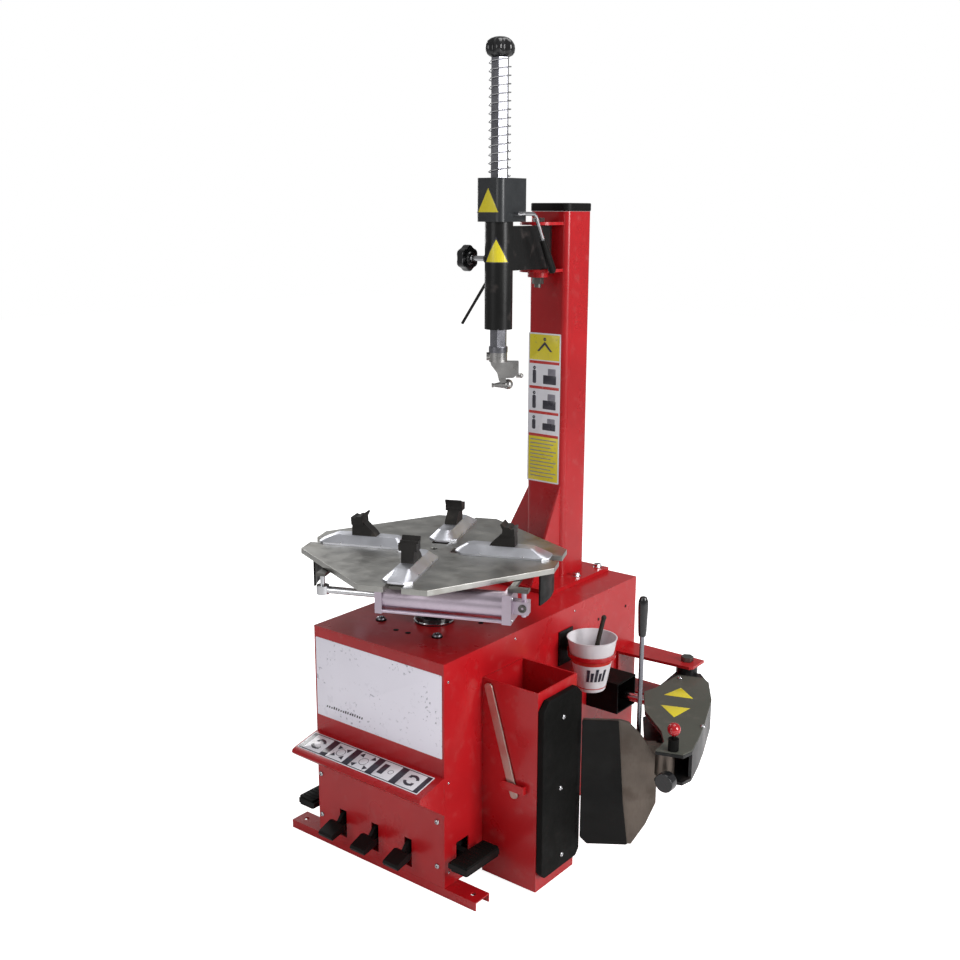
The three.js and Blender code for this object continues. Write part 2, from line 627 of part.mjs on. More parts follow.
// Slide carriage; the two slides on the cylinder line also carry bracket bars.
function slide(withBrackets) {
  const carriage = block(90, 276, -38, 38, TABLE_LOW - 8.4, TABLE_LOW - 0.6);
  const neck = block(92, 272, -SLOT_HALF + 0.7, SLOT_HALF - 0.7, TABLE_LOW - 1, TABLE_TOP + 1);
  const pieces = [carriage, neck, slideCover(), jaw()];
  if (withBrackets) {
    // One bar reaches to the clevis of one cylinder, the other to the rod eye of the second.
    pieces.push(block(248, 262, -CLAMP_SIDE - 12, 30, TABLE_LOW - 8.4, TABLE_LOW - 1));
    pieces.push(block(248, CLEVIS_R + 12, -CLAMP_SIDE - 12, -CLAMP_SIDE + 12, TABLE_LOW - 8.4, TABLE_LOW - 1));
    pieces.push(block(EYE_R - 12, EYE_R + 12, 0, CLAMP_SIDE + 12, TABLE_LOW - 8.4, TABLE_LOW - 1));
  }
  return join(...pieces);
}

// Outline in the (distance from the turntable axis, height) plane, given a width.
function radialPrism(outline, width) {
  const profile = new THREE.Shape(outline.map(([r, z]) => new THREE.Vector2(r, z)));
  const geometry = new THREE.ExtrudeGeometry(profile, { depth: width, bevelEnabled: false });
  geometry.rotateX(Math.PI / 2);
  return geometry.translate(0, width / 2, 0);
}

// Jaw bolted onto the slide cover: sloping foot and a wide head whose tip points inwards.
function jaw() {
  const z0 = TABLE_TOP + GAP + COVER_RISE - 0.5;
  const foot = [[150, z0], [216, z0], [215, z0 + 34], [188, z0 + 40], [178, z0 + 30], [156, z0 + 9]];
  const head = [
    [184, z0 + 30], [215, z0 + 30], [216, z0 + 50], [206, z0 + 47], [201, z0 + 52], [190, z0 + 52],
    [182, z0 + 61], [179, z0 + 58], [185, z0 + 46],
  ];
  return join(radialPrism(foot, 32), radialPrism(head, 46));
}

const JAW_NAMES = ['right', 'back', 'left', 'front'];
JAW_NAMES.forEach((name, i) => {
  const turn = JAW_TURN + 90 * i;
  add(`slide_${name}`, spin(slide(i % 2 === 0), turn), STEEL);
});

// Links from the star pins to the slides, each with a stub pin at both ends. Neighbouring
// links lie one above the other so that they can pass.
const LINK_STEP = 6.8;
const starAngle = rad(STAR_LEAD);
const starPin = [STAR_R * Math.cos(starAngle), STAR_R * Math.sin(starAngle)];
const LINK_LENGTH = Math.hypot(SLIDE_PIN_R - starPin[0], starPin[1]);

function link(level) {
  const [x0, y0] = starPin;
  const angle = Math.atan2(-y0, SLIDE_PIN_R - x0);
  const low = LINK_LOW + level * LINK_STEP;
  const strip = block(0, LINK_LENGTH, -6, 6, low, low + 6);
  strip.rotateZ(angle);
  strip.translate(x0, y0, 0);
  return join(
    strip,
    post(x0, y0, 9, low, low + 6, 0, 16),
    post(SLIDE_PIN_R, 0, 9, low, low + 6, 0, 16),
    post(x0, y0, 4, STAR_LOW + 1, low + 1, 0, 12),
    post(SLIDE_PIN_R, 0, 6, low + 5, TABLE_LOW - 8.4 - 0.5, 0, 12));
}

JAW_NAMES.forEach((name, i) => {
  add(`link_${name}`, spin(link(i % 2), JAW_TURN + 90 * i), STEEL);
});

// Clamp cylinder beside the hub: tube with square end caps and a clevis on one slide,
// rod with an eye on the opposite slide.
const CAP_HALF = 36;
const TUBE_R = 33;

function clampTube() {
  const y = -CLAMP_SIDE;
  const tube = cut(
    join(
      bar(TUBE_R, [-56, y, CLAMP_Z], [250, y, CLAMP_Z], FINE),
      block(-72, -54, y - CAP_HALF, y + CAP_HALF, CLAMP_Z - CAP_HALF, CLAMP_Z + CAP_HALF),
      block(240, 262, y - CAP_HALF, y + CAP_HALF, CLAMP_Z - CAP_HALF, CLAMP_Z + CAP_HALF),
      block(260, 298, y - 14, y + 14, CLAMP_Z - 16, CLAMP_Z + 16),
      bar(5, [-60, y - 30, CLAMP_Z - 30], [244, y - 30, CLAMP_Z - 30], 8),
      bar(5, [-60, y + 30, CLAMP_Z - 30], [244, y + 30, CLAMP_Z - 30], 8)),
    bar(29, [-52, y, CLAMP_Z], [236, y, CLAMP_Z], ROUND),
    bar(9.6, [-80, y, CLAMP_Z], [0, y, CLAMP_Z], 16));
  const pin = post(CLEVIS_R, y, 6, CLAMP_Z - 24, TABLE_LOW - 8.4 - GAP, 0, 12);
  return join(tube, pin);
}

function clampRod() {
  const y = -CLAMP_SIDE;
  return join(
    bar(9, [-EYE_R + 6, y, CLAMP_Z], [40, y, CLAMP_Z], 16),
    bar(28, [40, y, CLAMP_Z], [54, y, CLAMP_Z], ROUND),
    post(-EYE_R, y, 16, CLAMP_Z - 11, CLAMP_Z + 11, 0, 16),
    post(-EYE_R, y, 6, CLAMP_Z, TABLE_LOW - 8.4 - GAP, 0, 12));
}

add('clamp_tube_near', spin(clampTube(), JAW_TURN), ALUMINIUM);
add('clamp_rod_near', spin(clampRod(), JAW_TURN), CHROME);
add('clamp_tube_far', spin(clampTube(), JAW_TURN + 180), ALUMINIUM);
add('clamp_rod_far', spin(clampRod(), JAW_TURN + 180), CHROME);

// ---------------------------------------------------------------- drive inside the cabinet

add('gearbox', cut(
  join(
    block(-95, 95, -110, 110, 440, CAB_TOP - SHEET - GAP),
    bar(26, [90, 0, 490], [104, 0, 490])),
  post(0, 0, HUB_R + 0.6, SHAFT_LOW - 4, CAB_TOP, 0, ROUND)), IRON);

add('belt_guard', beltGuard(), BLACK);

// Closed capsule around both pulleys and the belt.
function beltGuard() {
  const upper = { y: 0, z: 490, r: 75 };
  const lower = { y: 320, z: 190, r: 45 };
  const along = Math.atan2(lower.z - upper.z, lower.y - upper.y);
  const points = [];
  for (let i = 0; i <= 8; i += 1) {
    const angle = along + rad(90 + (180 * i) / 8);
    points.push([upper.y + upper.r * Math.cos(angle), upper.z + upper.r * Math.sin(angle)]);
  }
  for (let i = 0; i <= 8; i += 1) {
    const angle = along + rad(-90 + (180 * i) / 8);
    points.push([lower.y + lower.r * Math.cos(angle), lower.z + lower.r * Math.sin(angle)]);
  }
  return prismX(points, 104 + GAP, 150);
}

add('motor', join(
  bar(68, [-110, 320, 190], [96, 320, 190], ROUND),
  bar(20, [90, 320, 190], [104, 320, 190], 16),
  block(-80, 60, 265, 375, CAB_FLOOR + SHEET + GAP, 150)), MOTOR_GREY);

// ---------------------------------------------------------------- pedals

add('pedal_shaft', bar(PEDAL_SHAFT_R, [-innerHalf + 0.5, PEDAL_SHAFT_Y, PEDAL_SHAFT_Z],
  [innerHalf - 0.5, PEDAL_SHAFT_Y, PEDAL_SHAFT_Z], 16), STEEL);

// Ring around the pedal shaft at one pedal, as a bored block.
function pedalEye(x, half) {
  return cut(
    bar(16, [x - half, PEDAL_SHAFT_Y, PEDAL_SHAFT_Z], [x + half, PEDAL_SHAFT_Y, PEDAL_SHAFT_Z], 16),
    bar(PEDAL_SHAFT_R + 0.6, [x - half - 1, PEDAL_SHAFT_Y, PEDAL_SHAFT_Z],
      [x + half + 1, PEDAL_SHAFT_Y, PEDAL_SHAFT_Z], 16));
}

function frontPedal(x) {
  const web = prismX([[-74, 128], [-74, 110], [-240, 74], [-248, 84], [-226, 108], [-208, 113]], x - 5, x + 5);
  const pad = prismX([[-286, 66], [-240, 75], [-236, 90], [-246, 94], [-286, 80], [-290, 74]], x - 24, x + 24);
  return join(pedalEye(x, 8), web, pad);
}

FRONT_PEDALS_X.forEach((x, i) => {
  add(`pedal_front_${i + 1}`, frontPedal(x), PLASTIC_BLACK);
});

// Side pedal: inside arm, cross bar out through the side slot, wide pad outside.
function sidePedal(side) {
  const armX = side * 192;
  const arm = prismX([[-74, 128], [-74, 112], [-150, 88], [-164, 92], [-160, 106]], armX - 5, armX + 5);
  const crossFrom = Math.min(armX, side * 240);
  const crossTo = Math.max(armX, side * 240);
  const cross = block(crossFrom, crossTo, -164, -146, 90, 102);
  const padFrom = Math.min(side * 232, side * 290);
  const padTo = Math.max(side * 232, side * 290);
  const pad = block(padFrom, padTo, -226, -96, 88, 102);
  return join(pedalEye(armX, 8), arm, cross, pad);
}

add('pedal_left', sidePedal(-1), PLASTIC_BLACK);
add('pedal_right', sidePedal(1), PLASTIC_BLACK);

// ---------------------------------------------------------------- bead breaker

// Red bracket welded to the right rear of the cabinet: two plates joined by a back web.
const BRACKET = { x0: CAB_HALF + GAP, x1: 450, y0: 571, y1: 645, low: 290, high: 400, thick: 8 };
const bracketOutline = [
  [BRACKET.x0, BRACKET.y0 - 18], [BRACKET.x1 - 8, BRACKET.y0], [BRACKET.x1, BRACKET.y0 + 10],
  [BRACKET.x1, BRACKET.y1], [BRACKET.x0, BRACKET.y1],
];
const bracketHole = [circle(BREAKER_PIN_X, BREAKER_PIN_Y, 12.5, 16)];
add('breaker_bracket', join(
  prism(bracketOutline, BRACKET.low, BRACKET.low + BRACKET.thick, bracketHole),
  prism(bracketOutline, BRACKET.high, BRACKET.high + BRACKET.thick, bracketHole),
  block(BRACKET.x0, BRACKET.x0 + 8, BRACKET.y0 - 18, BRACKET.y1, BRACKET.low, BRACKET.high + 4)), RED);

add('breaker_pin', join(
  post(BREAKER_PIN_X, BREAKER_PIN_Y, 12, BRACKET.low - 10, BRACKET.high + BRACKET.thick + 2, 0, 16),
  post(BREAKER_PIN_X, BREAKER_PIN_Y, 18, BRACKET.high + BRACKET.thick + GAP, BRACKET.high + 22, 0, 6),
  post(BREAKER_PIN_X, BREAKER_PIN_Y, 18, BRACKET.low - 18, BRACKET.low - GAP, 0, 6)), STEEL);

// Curved arm: lower and upper plates, an outer web and the hinge barrel.
const armInner = [[392, 590], [408, 446], [397, 404], [462, 298], [558, 216], [592, 168], [598, 116]];
const armOuter = [[662, 138], [668, 172], [646, 250], [619, 329], [565, 470], [505, 570], [452, 622]];
const armPlate = [...armInner, ...armOuter];
const webInner = armOuter.slice(1).map(([x, y]) => [x - 7, y - 3]).reverse();
const armWeb = prism([...armOuter.slice(1), ...webInner], BREAKER_LOW - 6, BREAKER_HIGH + 6);
const barrel = post(BREAKER_PIN_X, BREAKER_PIN_Y, 30, BRACKET.low + BRACKET.thick + 1, BRACKET.high - 1, 12.6);
const upperSheet = prism(armPlate, BREAKER_HIGH, BREAKER_HIGH + 8);
const lowerSheet = prism(armPlate, BREAKER_LOW - 8, BREAKER_LOW);
const armBody = cut(
  join(upperSheet, lowerSheet, armWeb),
  post(BREAKER_PIN_X, BREAKER_PIN_Y, 20, BREAKER_LOW - 20, BREAKER_HIGH + 20, 0, 16),
  post(BLADE_PIN_X, BLADE_PIN_Y, 9.6, BREAKER_LOW - 20, BREAKER_HIGH + 20, 0, 16));
add('breaker_arm', join(armBody, barrel), BLACK);

const coverOutline = armPlate.map(([x, y]) => [x, y]);
coverOutline[0] = [412, 566];
coverOutline[coverOutline.length - 1] = [478, 590];
add('breaker_cover', prism(coverOutline, BREAKER_HIGH + 8 + GAP, BREAKER_HIGH + 12 + GAP), OLIVE);

// Blade in a local frame: s runs along the blade from its leading edge, w is thickness.
const BLADE_THICK = 8;
const bladeOutline = new THREE.Shape([
  [0, 100], [18, 84], [128, 84], [162, 140], [186, 200], [186, 314], [170, 344], [142, 384], [112, 414],
  [92, 420], [0, 420],
].map(([s, z]) => new THREE.Vector2(s, z)));

// Moves a geometry built in (s, thickness, z) coordinates into the blade's place.
function placeOnBlade(geometry) {
  geometry.rotateZ(rad(BLADE_TURN));
  return geometry.translate(BLADE_EDGE.x, BLADE_EDGE.y, 0);
}

function plateOnBlade(shape, near, far) {
  const geometry = new THREE.ExtrudeGeometry(shape, { depth: far - near, bevelEnabled: false });
  geometry.rotateX(Math.PI / 2);
  return placeOnBlade(geometry.translate(0, far, 0));
}

const bladeReach = placeOnBlade(block(150, 184, 1, 24, 318, 356));
const bladeWeb = prism([[556, 196], [571, 207], [620, 166], [606, 138], [590, 138]], 318, 356);
const bladeBoss = post(BLADE_PIN_X, BLADE_PIN_Y, 24, BREAKER_LOW + 1, BREAKER_HIGH - 1);
const bladePin = post(BLADE_PIN_X, BLADE_PIN_Y, 9, BREAKER_LOW - 14, BREAKER_HIGH + 7.6, 0, 16);
const HANDLE_X = 508;
const HANDLE_Y = 190;
const handleLug = placeOnBlade(block(128, 154, 1, 46, 322, 334));
add('breaker_blade', join(
  plateOnBlade(bladeOutline, 0, BLADE_THICK), bladeReach, bladeWeb, bladeBoss, bladePin,
  cut(handleLug, post(HANDLE_X, HANDLE_Y, 8.5, 310, 350, 0, 16))), STEEL);

const shoeOutline = new THREE.Shape([
  [-2, 102], [16, 84], [118, 84], [104, 200], [88, 420], [-2, 420],
].map(([s, z]) => new THREE.Vector2(s, z)));
add('blade_shoe', plateOnBlade(shoeOutline, -7, -GAP), PLASTIC_BLACK);

add('breaker_handle', join(
  post(HANDLE_X, HANDLE_Y, 6, 316, 640, 0, 12),
  post(HANDLE_X, HANDLE_Y, 13, 334.4, 342, 0, 12),
  turned([[0, 628], [9, 628], [10.5, 640], [12.5, 700], [12, 718], [8, 728], [0, 731]],
    HANDLE_X, HANDLE_Y, 16)), PLASTIC_BLACK);

// Push-pull control on the front end of the arm: rubber boot and red ball.
const BALL_X = 632;
const BALL_Y = 142;
const COVER_FACE = BREAKER_HIGH + 12 + GAP;
add('control_boot', post(BALL_X, BALL_Y, 13, COVER_FACE + GAP, COVER_FACE + 30, 6), RUBBER);
add('control_ball', join(
  post(BALL_X, BALL_Y, 5, COVER_FACE + 10, COVER_FACE + 46, 0, 12),
  ball(16.5, BALL_X, BALL_Y, COVER_FACE + 54)), PLASTIC_RED);

// Hand knob on the nose of the arm that sets the blade angle.
add('adjust_knob', join(
  bar(24, [640, 110, 318], [640, 84, 318], 20),
  bar(8, [640, 124, 318], [640, 109, 318], 12)), PLASTIC_BLACK);

// Breaker ram inside the cabinet, its rod passing out to the arm.
const RAM_BACK = -190;
const RAM_FRONT = 150;
add('ram_tube', cut(
  join(
    bar(62, [RAM_BACK + 12, RAM_Y, RAM_Z], [RAM_FRONT - 12, RAM_Y, RAM_Z], FINE),
    block(RAM_BACK, RAM_BACK + 16, RAM_Y - 66, RAM_Y + 66, RAM_Z - 66, RAM_Z + 66),
    block(RAM_FRONT - 16, RAM_FRONT, RAM_Y - 66, RAM_Y + 66, RAM_Z - 66, RAM_Z + 66)),
  bar(56, [RAM_BACK + 18, RAM_Y, RAM_Z], [RAM_FRONT - 18, RAM_Y, RAM_Z], ROUND),
  bar(12.8, [RAM_FRONT - 30, RAM_Y, RAM_Z], [RAM_FRONT + 5, RAM_Y, RAM_Z], 16)), ALUMINIUM);
add('ram_rod', join(
  bar(12, [-40, RAM_Y, RAM_Z], [420, RAM_Y, RAM_Z], 16),
  bar(55, [-52, RAM_Y, RAM_Z], [-36, RAM_Y, RAM_Z], ROUND),
  block(408, 440, RAM_Y - 18, RAM_Y + 18, RAM_Z - 22, RAM_Z + 22)), CHROME);

const GUARD = { x0: CAB_HALF + GAP, x1: 318, y0: RAM_Y - 42, y1: RAM_Y + 54, z0: RAM_Z - 44, z1: RAM_Z + 44 };
add('rod_guard', cut(
  block(GUARD.x0, GUARD.x1, GUARD.y0, GUARD.y1, GUARD.z0, GUARD.z1),
  block(GUARD.x0 - 1, GUARD.x1 + 1, GUARD.y0 + 5, GUARD.y1 - 5, GUARD.z0 + 5, GUARD.z1 - 5)), RUBBER);

// ---------------------------------------------------------------- paste bucket and brush

const BUCKET_LOW = 396;
const BUCKET_HIGH = 541;
const bucketProfile = [
  [0, BUCKET_LOW], [37, BUCKET_LOW], [39, BUCKET_LOW + 4], [60, BUCKET_HIGH - 34], [61, BUCKET_HIGH - 30],
  [66, BUCKET_HIGH - 2], [68, BUCKET_HIGH], [64, BUCKET_HIGH], [58, BUCKET_HIGH - 32],
  [36, BUCKET_LOW + 4], [0, BUCKET_LOW + 4],
];
add('bucket', turned(bucketProfile, BUCKET_X, BUCKET_Y, FINE), PLASTIC_WHITE);

const RING_Z = BUCKET_HIGH - 52;
add('bucket_holder', join(
  post(BUCKET_X, BUCKET_Y, 64, RING_Z, RING_Z + 12, 59.5, FINE),
  block(CAB_HALF + GAP, BUCKET_X - 61, BUCKET_Y - 14, BUCKET_Y + 14, RING_Z, RING_Z + 12),
  block(CAB_HALF + GAP, CAB_HALF + 4, BUCKET_Y - 52, BUCKET_Y + 14, RING_Z - 34, RING_Z + 62)), RED);

add('brush', join(
  bar(22, [BUCKET_X - 2, BUCKET_Y + 2, BUCKET_LOW + 6], [BUCKET_X - 2, BUCKET_Y + 2, BUCKET_LOW + 60], 12),
  bar(6, [BUCKET_X - 2, BUCKET_Y + 2, BUCKET_LOW + 55], [BUCKET_X + 16, BUCKET_Y + 30, 590], 12),
  ball(7, BUCKET_X + 16, BUCKET_Y + 30, 590, 12)), BLACK);

// ---------------------------------------------------------------- centre the footprint on the origin

machine.updateMatrixWorld(true);
const bounds = new THREE.Box3().setFromObject(machine);
machine.position.set(-(bounds.min.x + bounds.max.x) / 2, -(bounds.min.y + bounds.max.y) / 2, -bounds.min.z);
machine.updateMatrixWorld(true);

export default machine;
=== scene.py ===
# Looks for the swing-arm tyre changer: camera, studio, materials and fine detail
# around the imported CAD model. Lengths in this file are millimetres from the turntable
# axis and the floor; `at` turns them into metres in the row frame.

import math
import random

import bmesh
import bpy
from mathutils import Matrix, Vector


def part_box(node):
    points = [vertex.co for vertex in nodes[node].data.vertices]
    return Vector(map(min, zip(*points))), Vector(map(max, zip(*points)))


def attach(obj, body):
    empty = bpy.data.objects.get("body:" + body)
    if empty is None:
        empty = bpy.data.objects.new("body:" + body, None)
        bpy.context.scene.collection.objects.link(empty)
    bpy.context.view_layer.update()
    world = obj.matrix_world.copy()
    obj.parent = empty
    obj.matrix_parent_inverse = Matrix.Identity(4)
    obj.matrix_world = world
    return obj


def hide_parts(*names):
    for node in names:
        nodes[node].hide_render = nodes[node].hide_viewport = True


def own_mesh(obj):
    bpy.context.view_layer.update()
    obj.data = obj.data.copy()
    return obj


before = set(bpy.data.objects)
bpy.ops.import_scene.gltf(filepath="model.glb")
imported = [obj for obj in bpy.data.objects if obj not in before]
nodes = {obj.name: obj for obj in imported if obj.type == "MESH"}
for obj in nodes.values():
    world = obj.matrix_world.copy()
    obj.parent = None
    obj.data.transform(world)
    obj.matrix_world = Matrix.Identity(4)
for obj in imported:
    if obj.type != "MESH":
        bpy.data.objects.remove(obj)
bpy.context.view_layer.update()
scene = bpy.context.scene

cabinet_low, cabinet_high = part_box("cabinet_shell")
CENTRE_X = (cabinet_low.x + cabinet_high.x) / 2
CENTRE_Y = cabinet_low.y + 0.221

CAB_FRONT = -221
CAB_SIDE = 217
CAB_TOP = 608
TABLE_TOP = 801
BREAKER_COVER_TOP = 380.3
CYLINDER_SIDE = 215
CYLINDER_HEIGHT = 742
BASE_PLATE_TOP = 620
POST_FRONT = 480
TOOL_X = 5
TOOL_Y = 259.5
JAW_TURN = 23.5


def at(x, y, z):
    return Vector((CENTRE_X + x / 1000, CENTRE_Y + y / 1000, z / 1000))


# ---------------------------------------------------------------- camera

camera_data = bpy.data.cameras.new("camera")
camera_data.sensor_width = 36
camera_data.lens = 43.72
camera = bpy.data.objects.new("camera", camera_data)
scene.collection.objects.link(camera)
camera.matrix_world = (
    Matrix.Translation(at(1865.2, -2181.1, 1643.5))
    @ Matrix.Rotation(math.radians(38.19), 4, "Z")
    @ Matrix.Rotation(math.radians(90 - 13.0), 4, "X")
    @ Matrix.Rotation(math.radians(0.18), 4, "Z")
)
scene.camera = camera


# ---------------------------------------------------------------- shader helpers

# Places of the colour sockets on a Mix node.
COLOUR_A = 6
COLOUR_B = 7
COLOUR_RESULT = 2


class Surface:
    """One Principled material, built up from noise patterns in object coordinates."""

    def __init__(self, name, metallic=0.0, coat=0.0, coat_roughness=0.1, specular=0.5):
        self.material = bpy.data.materials.new(name)
        self.material.use_nodes = True
        self.tree = self.material.node_tree
        self.shader = self.tree.nodes["Principled BSDF"]
        self.shader.inputs["Metallic"].default_value = metallic
        self.shader.inputs["Coat Weight"].default_value = coat
        self.shader.inputs["Coat Roughness"].default_value = coat_roughness
        self.shader.inputs["Specular IOR Level"].default_value = specular
        self.place = self.node("ShaderNodeTexCoord").outputs["Object"]
        self.last_normal = None

    def node(self, kind, **inputs):
        made = self.tree.nodes.new(kind)
        for name, value in inputs.items():
            self.feed(made.inputs[name.replace("_", " ")], value)
        return made

    def feed(self, socket, value):
        if isinstance(value, bpy.types.NodeSocket):
            self.tree.links.new(value, socket)
        else:
            socket.default_value = value

    def noise(self, scale, detail=3.0, stretch=(1, 1, 1), turn=0.0):
        place = self.place
        if stretch != (1, 1, 1) or turn:
            mapping = self.node("ShaderNodeMapping", Vector=self.place)
            mapping.inputs["Scale"].default_value = stretch
            mapping.inputs["Rotation"].default_value = (0, 0, math.radians(turn))
            place = mapping.outputs["Vector"]
        made = self.node("ShaderNodeTexNoise", Vector=place, Scale=scale, Detail=detail)
        return made.outputs["Fac"]

    def spread(self, value, low, high, out_low=0.0, out_high=1.0):
        made = self.node("ShaderNodeMapRange", Value=value)
        made.inputs["From Min"].default_value = low
        made.inputs["From Max"].default_value = high
        made.inputs["To Min"].default_value = out_low
        made.inputs["To Max"].default_value = out_high
        return made.outputs["Result"]

    def times(self, first, second):
        made = self.node("ShaderNodeMath")
        made.operation = "MULTIPLY"
        self.feed(made.inputs[0], first)
        self.feed(made.inputs[1], second)
        return made.outputs["Value"]

    def mix(self, share, first, second):
        made = self.tree.nodes.new("ShaderNodeMix")
        made.data_type = "RGBA"
        self.feed(made.inputs["Factor"], share)
        self.feed(made.inputs[COLOUR_A], first)
        self.feed(made.inputs[COLOUR_B], second)
        return made.outputs[COLOUR_RESULT]

    def edges(self, radius):
        """1 on sharp outer edges, 0 on flat faces."""
        bevel = self.node("ShaderNodeBevel")
        bevel.samples = 4
        bevel.inputs["Radius"].default_value = radius
        geometry = self.node("ShaderNodeNewGeometry")
        compare = self.node("ShaderNodeVectorMath")
        compare.operation = "DOT_PRODUCT"
        self.feed(compare.inputs[0], bevel.outputs["Normal"])
        self.feed(compare.inputs[1], geometry.outputs["Normal"])
        return self.spread(compare.outputs["Value"], 0.98, 0.72)

    def bump(self, height, depth):
        made = self.node("ShaderNodeBump", Height=height, Distance=depth)
        made.inputs["Strength"].default_value = 1.0
        if self.last_normal is not None:
            self.feed(made.inputs["Normal"], self.last_normal)
        self.last_normal = made.outputs["Normal"]
        self.feed(self.shader.inputs["Normal"], self.last_normal)

    def colour(self, value):
        self.feed(self.shader.inputs["Base Color"], value)

    def roughness(self, value):
        self.feed(self.shader.inputs["Roughness"], value)


def rgb(red, green, blue):
    return (red, green, blue, 1.0)


def paint(name, base, shade, primer, coat=0.3, rough=(0.24, 0.38), peel=0.00008, specular=0.32):
    """Powder coat: two close tones, orange peel, faint dust and chipped edges."""
    s = Surface(name, coat=coat, coat_roughness=0.12, specular=specular)
    tone = s.mix(s.spread(s.noise(3.0, 4), 0.35, 0.68), rgb(*base), rgb(*shade))
    dust = s.spread(s.noise(28, 6), 0.58, 0.8, 0.0, 0.10)
    dusty = s.mix(dust, tone, rgb(0.42, 0.33, 0.31))
    chips = s.times(s.edges(0.0016), s.spread(s.noise(55, 5), 0.56, 0.66))
    s.colour(s.mix(chips, dusty, rgb(*primer)))
    s.roughness(s.spread(s.noise(9, 5), 0.3, 0.7, rough[0], rough[1]))
    s.bump(s.noise(420, 2), peel)
    s.bump(s.noise(14, 2), 0.0004)
    return s.material


def metal(name, base, shade, rough=(0.22, 0.4), grain=(1, 1, 1), turn=0.0, stain=None,
          grain_scale=60, depth=0.00006, metallic=1.0):
    """Bare metal: fine grain along one direction, blotches and optional stains."""
    s = Surface(name, metallic=metallic)
    blotch = s.spread(s.noise(7, 5), 0.32, 0.7)
    tone = s.mix(blotch, rgb(*base), rgb(*shade))
    lines = s.noise(grain_scale, 4, grain, turn)
    tone = s.mix(s.spread(lines, 0.3, 0.7, 0.0, 0.35), tone, rgb(*shade))
    if stain:
        tone = s.mix(s.spread(s.noise(16, 7), 0.56, 0.72, 0.0, 0.75), tone, rgb(*stain))
    s.colour(tone)
    s.roughness(s.spread(s.noise(24, 6), 0.3, 0.72, rough[0], rough[1]))
    s.bump(lines, depth)
    s.bump(s.noise(160, 3), depth * 0.5)
    return s.material


def moulded(name, base, shade, rough=(0.35, 0.55), pit=0.00010, pit_scale=500, coat=0.0, specular=0.3):
    """Moulded plastic or rubber: fine surface grain, scuffs and uneven sheen."""
    s = Surface(name, coat=coat, specular=specular)
    scuff = s.spread(s.noise(18, 7), 0.55, 0.8, 0.0, 0.55)
    tone = s.mix(s.spread(s.noise(6, 4), 0.35, 0.7), rgb(*base), rgb(*shade))
    edge = s.times(s.edges(0.0012), s.spread(s.noise(40, 4), 0.45, 0.7, 0.0, 0.6))
    tone = s.mix(edge, tone, rgb(*[c * 2.4 + 0.02 for c in shade]))
    s.colour(s.mix(scuff, tone, rgb(*[c * 1.5 + 0.006 for c in base])))
    s.roughness(s.spread(s.noise(30, 6), 0.3, 0.7, rough[0], rough[1]))
    s.bump(s.noise(pit_scale, 3), pit)
    return s.material


def printed(name, base, fleck, amount=0.0, rough=(0.25, 0.4)):
    """Printed film, with rubbed specks where the print has worn."""
    s = Surface(name, coat=0.3)
    tone = s.mix(s.spread(s.noise(4, 3), 0.3, 0.7), rgb(*base), rgb(*[c * 0.93 for c in base]))
    if amount:
        specks = s.times(
            s.spread(s.noise(110, 3), 0.62, 0.67),
            s.spread(s.noise(11, 3), 0.46, 0.56, 0.0, amount))
        tone = s.mix(specks, tone, rgb(*fleck))
    s.colour(tone)
    s.roughness(s.spread(s.noise(35, 5), 0.3, 0.7, rough[0], rough[1]))
    s.bump(s.noise(60, 3), 0.00006)
    return s.material


RED = paint("red_paint", (0.46, 0.008, 0.012), (0.36, 0.006, 0.009), (0.13, 0.10, 0.09))
BLACK_PAINT = paint("black_paint", (0.006, 0.006, 0.006), (0.011, 0.011, 0.011),
                    (0.10, 0.10, 0.09), coat=0.08, rough=(0.26, 0.42), specular=0.25)
OLIVE = paint("olive_paint", (0.070, 0.072, 0.058), (0.088, 0.090, 0.074),
              (0.02, 0.02, 0.02), coat=0.1, rough=(0.4, 0.55), peel=0.0002)
GREY_ENAMEL = paint("grey_enamel", (0.16, 0.18, 0.20), (0.12, 0.13, 0.15), (0.3, 0.3, 0.3))
TABLE_STEEL = metal("table_steel", (0.50, 0.495, 0.47), (0.36, 0.355, 0.335), rough=(0.28, 0.5),
                    grain=(1, 14, 1), turn=23.5, stain=(0.28, 0.265, 0.24))
COVER_STEEL = metal("cover_steel", (0.86, 0.87, 0.93), (0.68, 0.69, 0.74), rough=(0.34, 0.5),
                    grain=(8, 1, 1), grain_scale=90)
DARK_STEEL = metal("dark_steel", (0.20, 0.195, 0.18), (0.12, 0.115, 0.11), rough=(0.35, 0.55),
                   grain=(1, 1, 6))
JAW_BLACK = metal("blackened_steel", (0.020, 0.019, 0.018), (0.035, 0.032, 0.03),
                  rough=(0.35, 0.6), stain=(0.08, 0.07, 0.06), grain_scale=120, metallic=0.6)
CHROME = metal("chrome", (0.66, 0.66, 0.68), (0.50, 0.50, 0.52), rough=(0.07, 0.2),
               grain=(1, 1, 5), depth=0.00001)
LEVER_STEEL = metal("lever_steel", (0.62, 0.54, 0.48), (0.40, 0.34, 0.30), rough=(0.3, 0.5),
                    grain=(6, 6, 1), depth=0.00003)
SHAFT_STEEL = metal("shaft_steel", (0.30, 0.30, 0.33), (0.18, 0.18, 0.20), rough=(0.18, 0.36),
                    grain=(30, 30, 1), depth=0.00003)
CAST_BRIGHT = metal("satin_casting", (0.50, 0.49, 0.48), (0.33, 0.325, 0.32), rough=(0.2, 0.42),
                    grain_scale=300, depth=0.00012)
TUBE_ALLOY = metal("drawn_alloy", (0.62, 0.53, 0.62), (0.48, 0.41, 0.48), rough=(0.32, 0.42),
                   grain=(1, 12, 12), turn=23.5, grain_scale=30, depth=0.000006)
